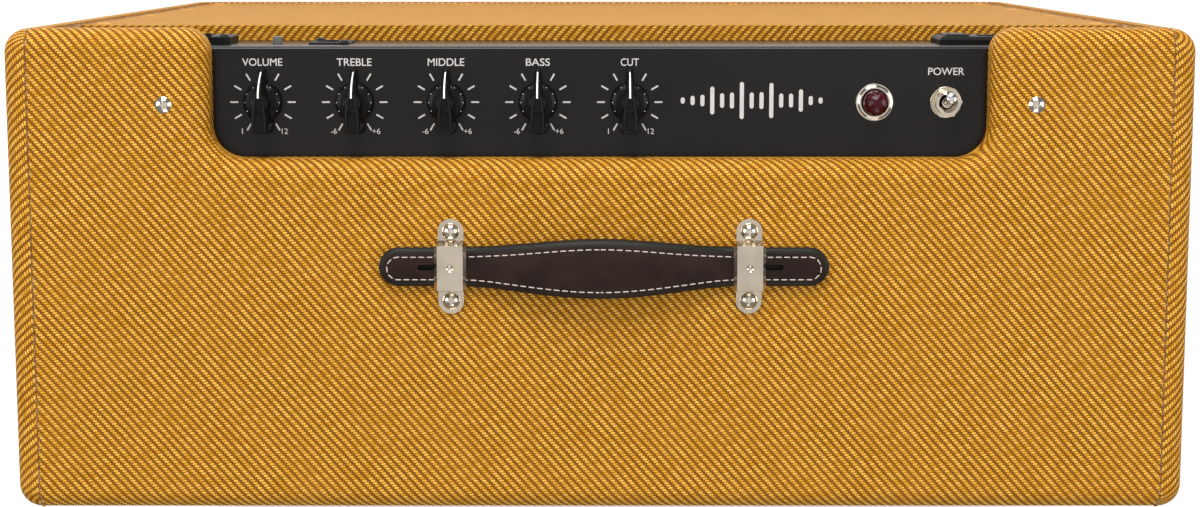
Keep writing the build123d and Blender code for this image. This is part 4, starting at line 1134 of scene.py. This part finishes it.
def lamp_glass():
    """Faceted ruby dome; every second ring is turned by half a facet."""
    facets = 12
    profile = [(6.4, 2.4), (6.4, 7.6), (5.9, 9.4), (4.5, 11.2), (2.3, 12.4)]
    turns = [Matrix.Rotation(math.pi / facets * (i % 2), 3, "Z") for i in range(len(profile))]
    jewel = bmesh.new()
    skin_rings(jewel, turned_rings(profile, on_panel("lamp_jewel"), facets, turns))
    bmesh.ops.triangulate(jewel, faces=[face for face in jewel.faces if len(face.verts) == 4])
    glass = from_bmesh("lamp_glass", jewel, "ruby", smooth=False)
    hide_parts("lamp_jewel")
    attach(glass, "cabinet")


def toggle_bat():
    """Bat-shaped lever of the power switch, leaning to the rear about its pivot."""
    profile = [
        (0.4, -2.2), (1.1, -2.0), (1.35, -1.2), (1.4, 3.5), (1.6, 6.0), (2.0, 8.8), (2.5, 11.2), (2.85, 12.8),
        (2.9, 13.8), (2.6, 14.8), (1.9, 15.3), (0.8, 15.5),
    ]
    lean = Matrix.Rotation(-math.radians(13), 3, "X")
    bat = bmesh.new()
    skin_rings(bat, turned_rings(profile, TURNS["power_toggle"], 32, [lean] * len(profile)))
    lever = from_bmesh("toggle_bat", bat, "chrome", crease=45)
    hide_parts("toggle_lever")
    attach(lever, "power_toggle")


# ---------------------------------------------------------------- front cloth

def front_cloth():
    """Speaker cloth stretched over its frame."""
    mesh = NODES["grille_cloth"].data.copy()
    piece = new_object("speaker_cloth", mesh, "grille")
    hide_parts("grille_cloth")
    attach(piece, "cabinet")


# ---------------------------------------------------------------- assembly

EDGE_SOFTNESS = 0.25 * MM


def dress_cad_nodes():
    """Materials of the CAD nodes that stay in view, and softened edges where they show."""
    for key, names in NODE_MATERIALS.items():
        for name in names:
            mesh = NODES[name].data
            mesh.materials.clear()
            mesh.materials.append(MATERIALS[key])
    for name in ("handle_cap_left", "handle_cap_right", "panel_nuts", "fuse_drawer", "jack_latch"):
        soften(name, EDGE_SOFTNESS)


def pale_floor():
    """Wide floor of off-white paper just under the feet."""
    reach = 12.0
    clearance = 0.5 * MM
    sheet = bmesh.new()
    corners = [(-reach, -reach), (reach, -reach), (reach, reach), (-reach, reach)]
    sheet.faces.new([sheet.verts.new((x, y, -clearance)) for x, y in corners])
    mesh = bpy.data.meshes.new("floor")
    sheet.to_mesh(mesh)
    sheet.free()
    paper = Shader("floor_paper", roughness=0.9)
    paper.colour(paper.mix(paper.noise(3), rgb(243, 243, 243), rgb(248, 248, 248)))
    mesh.materials.append(paper.material)
    floor = in_scene("floor", mesh)


def soft_light():
    """White surroundings and five large lamps, each with its place, aim, width and power in watts."""
    scene = bpy.context.scene
    scene.view_settings.view_transform = "Standard"
    scene.world = bpy.data.worlds.new("studio")
    scene.world.use_nodes = True
    background = scene.world.node_tree.nodes["Background"]
    background.inputs["Color"].default_value = (1.0, 1.0, 1.0, 1.0)
    background.inputs["Strength"].default_value = 0.24
    for name, place, aim, width, power in (
        ("overhead", (0.0, 0.0, 2.7), (0, 0, 0.4), 2.6, 11),
        ("left_bank", (-2.3, 0.4, 1.9), (0, 0, 0.4), 1.6, 33),
        ("right_bank", (2.3, 0.2, 1.9), (0, 0, 0.4), 1.6, 33),
        ("front_bank", (0.2, -2.3, 2.0), (0, 0, 0.4), 1.6, 20),
        ("rear_bank", (-0.2, 2.5, 1.8), (0, 0, 0.3), 1.6, 90),
    ):
        lamp = bpy.data.lights.new(name, "AREA")
        lamp.energy = power
        lamp.size = width
        holder = in_scene(name, lamp)
        holder.location = place
        direction = Vector(aim) - Vector(place)
        holder.rotation_euler = direction.to_track_quat("-Z", "Y").to_euler()


def camera_above():
    """Camera above the amplifier, a little behind its rear edge and tilted to the front."""
    lens = bpy.data.cameras.new("camera")
    lens.sensor_width = 36.0
    lens.lens = 61.5
    lens.shift_y = -0.0446
    camera = in_scene("camera", lens)
    camera.location = (0.0, 0.174, 1.503)
    camera.rotation_euler = (math.radians(-7.18), 0.0, 0.0)
    bpy.context.scene.camera = camera


dress_cad_nodes()
tweed_covering()
for seam_side in SIDE_NAMES:
    seam_line(seam_side)
handle()
for control, spot in KNOB_PLACES.items():
    pointer_knob(control, spot)
panel_printing()
panel_emblem()
lamp_ring()
lamp_glass()
toggle_bat()
front_cloth()
pale_floor()
soft_light()
camera_above()
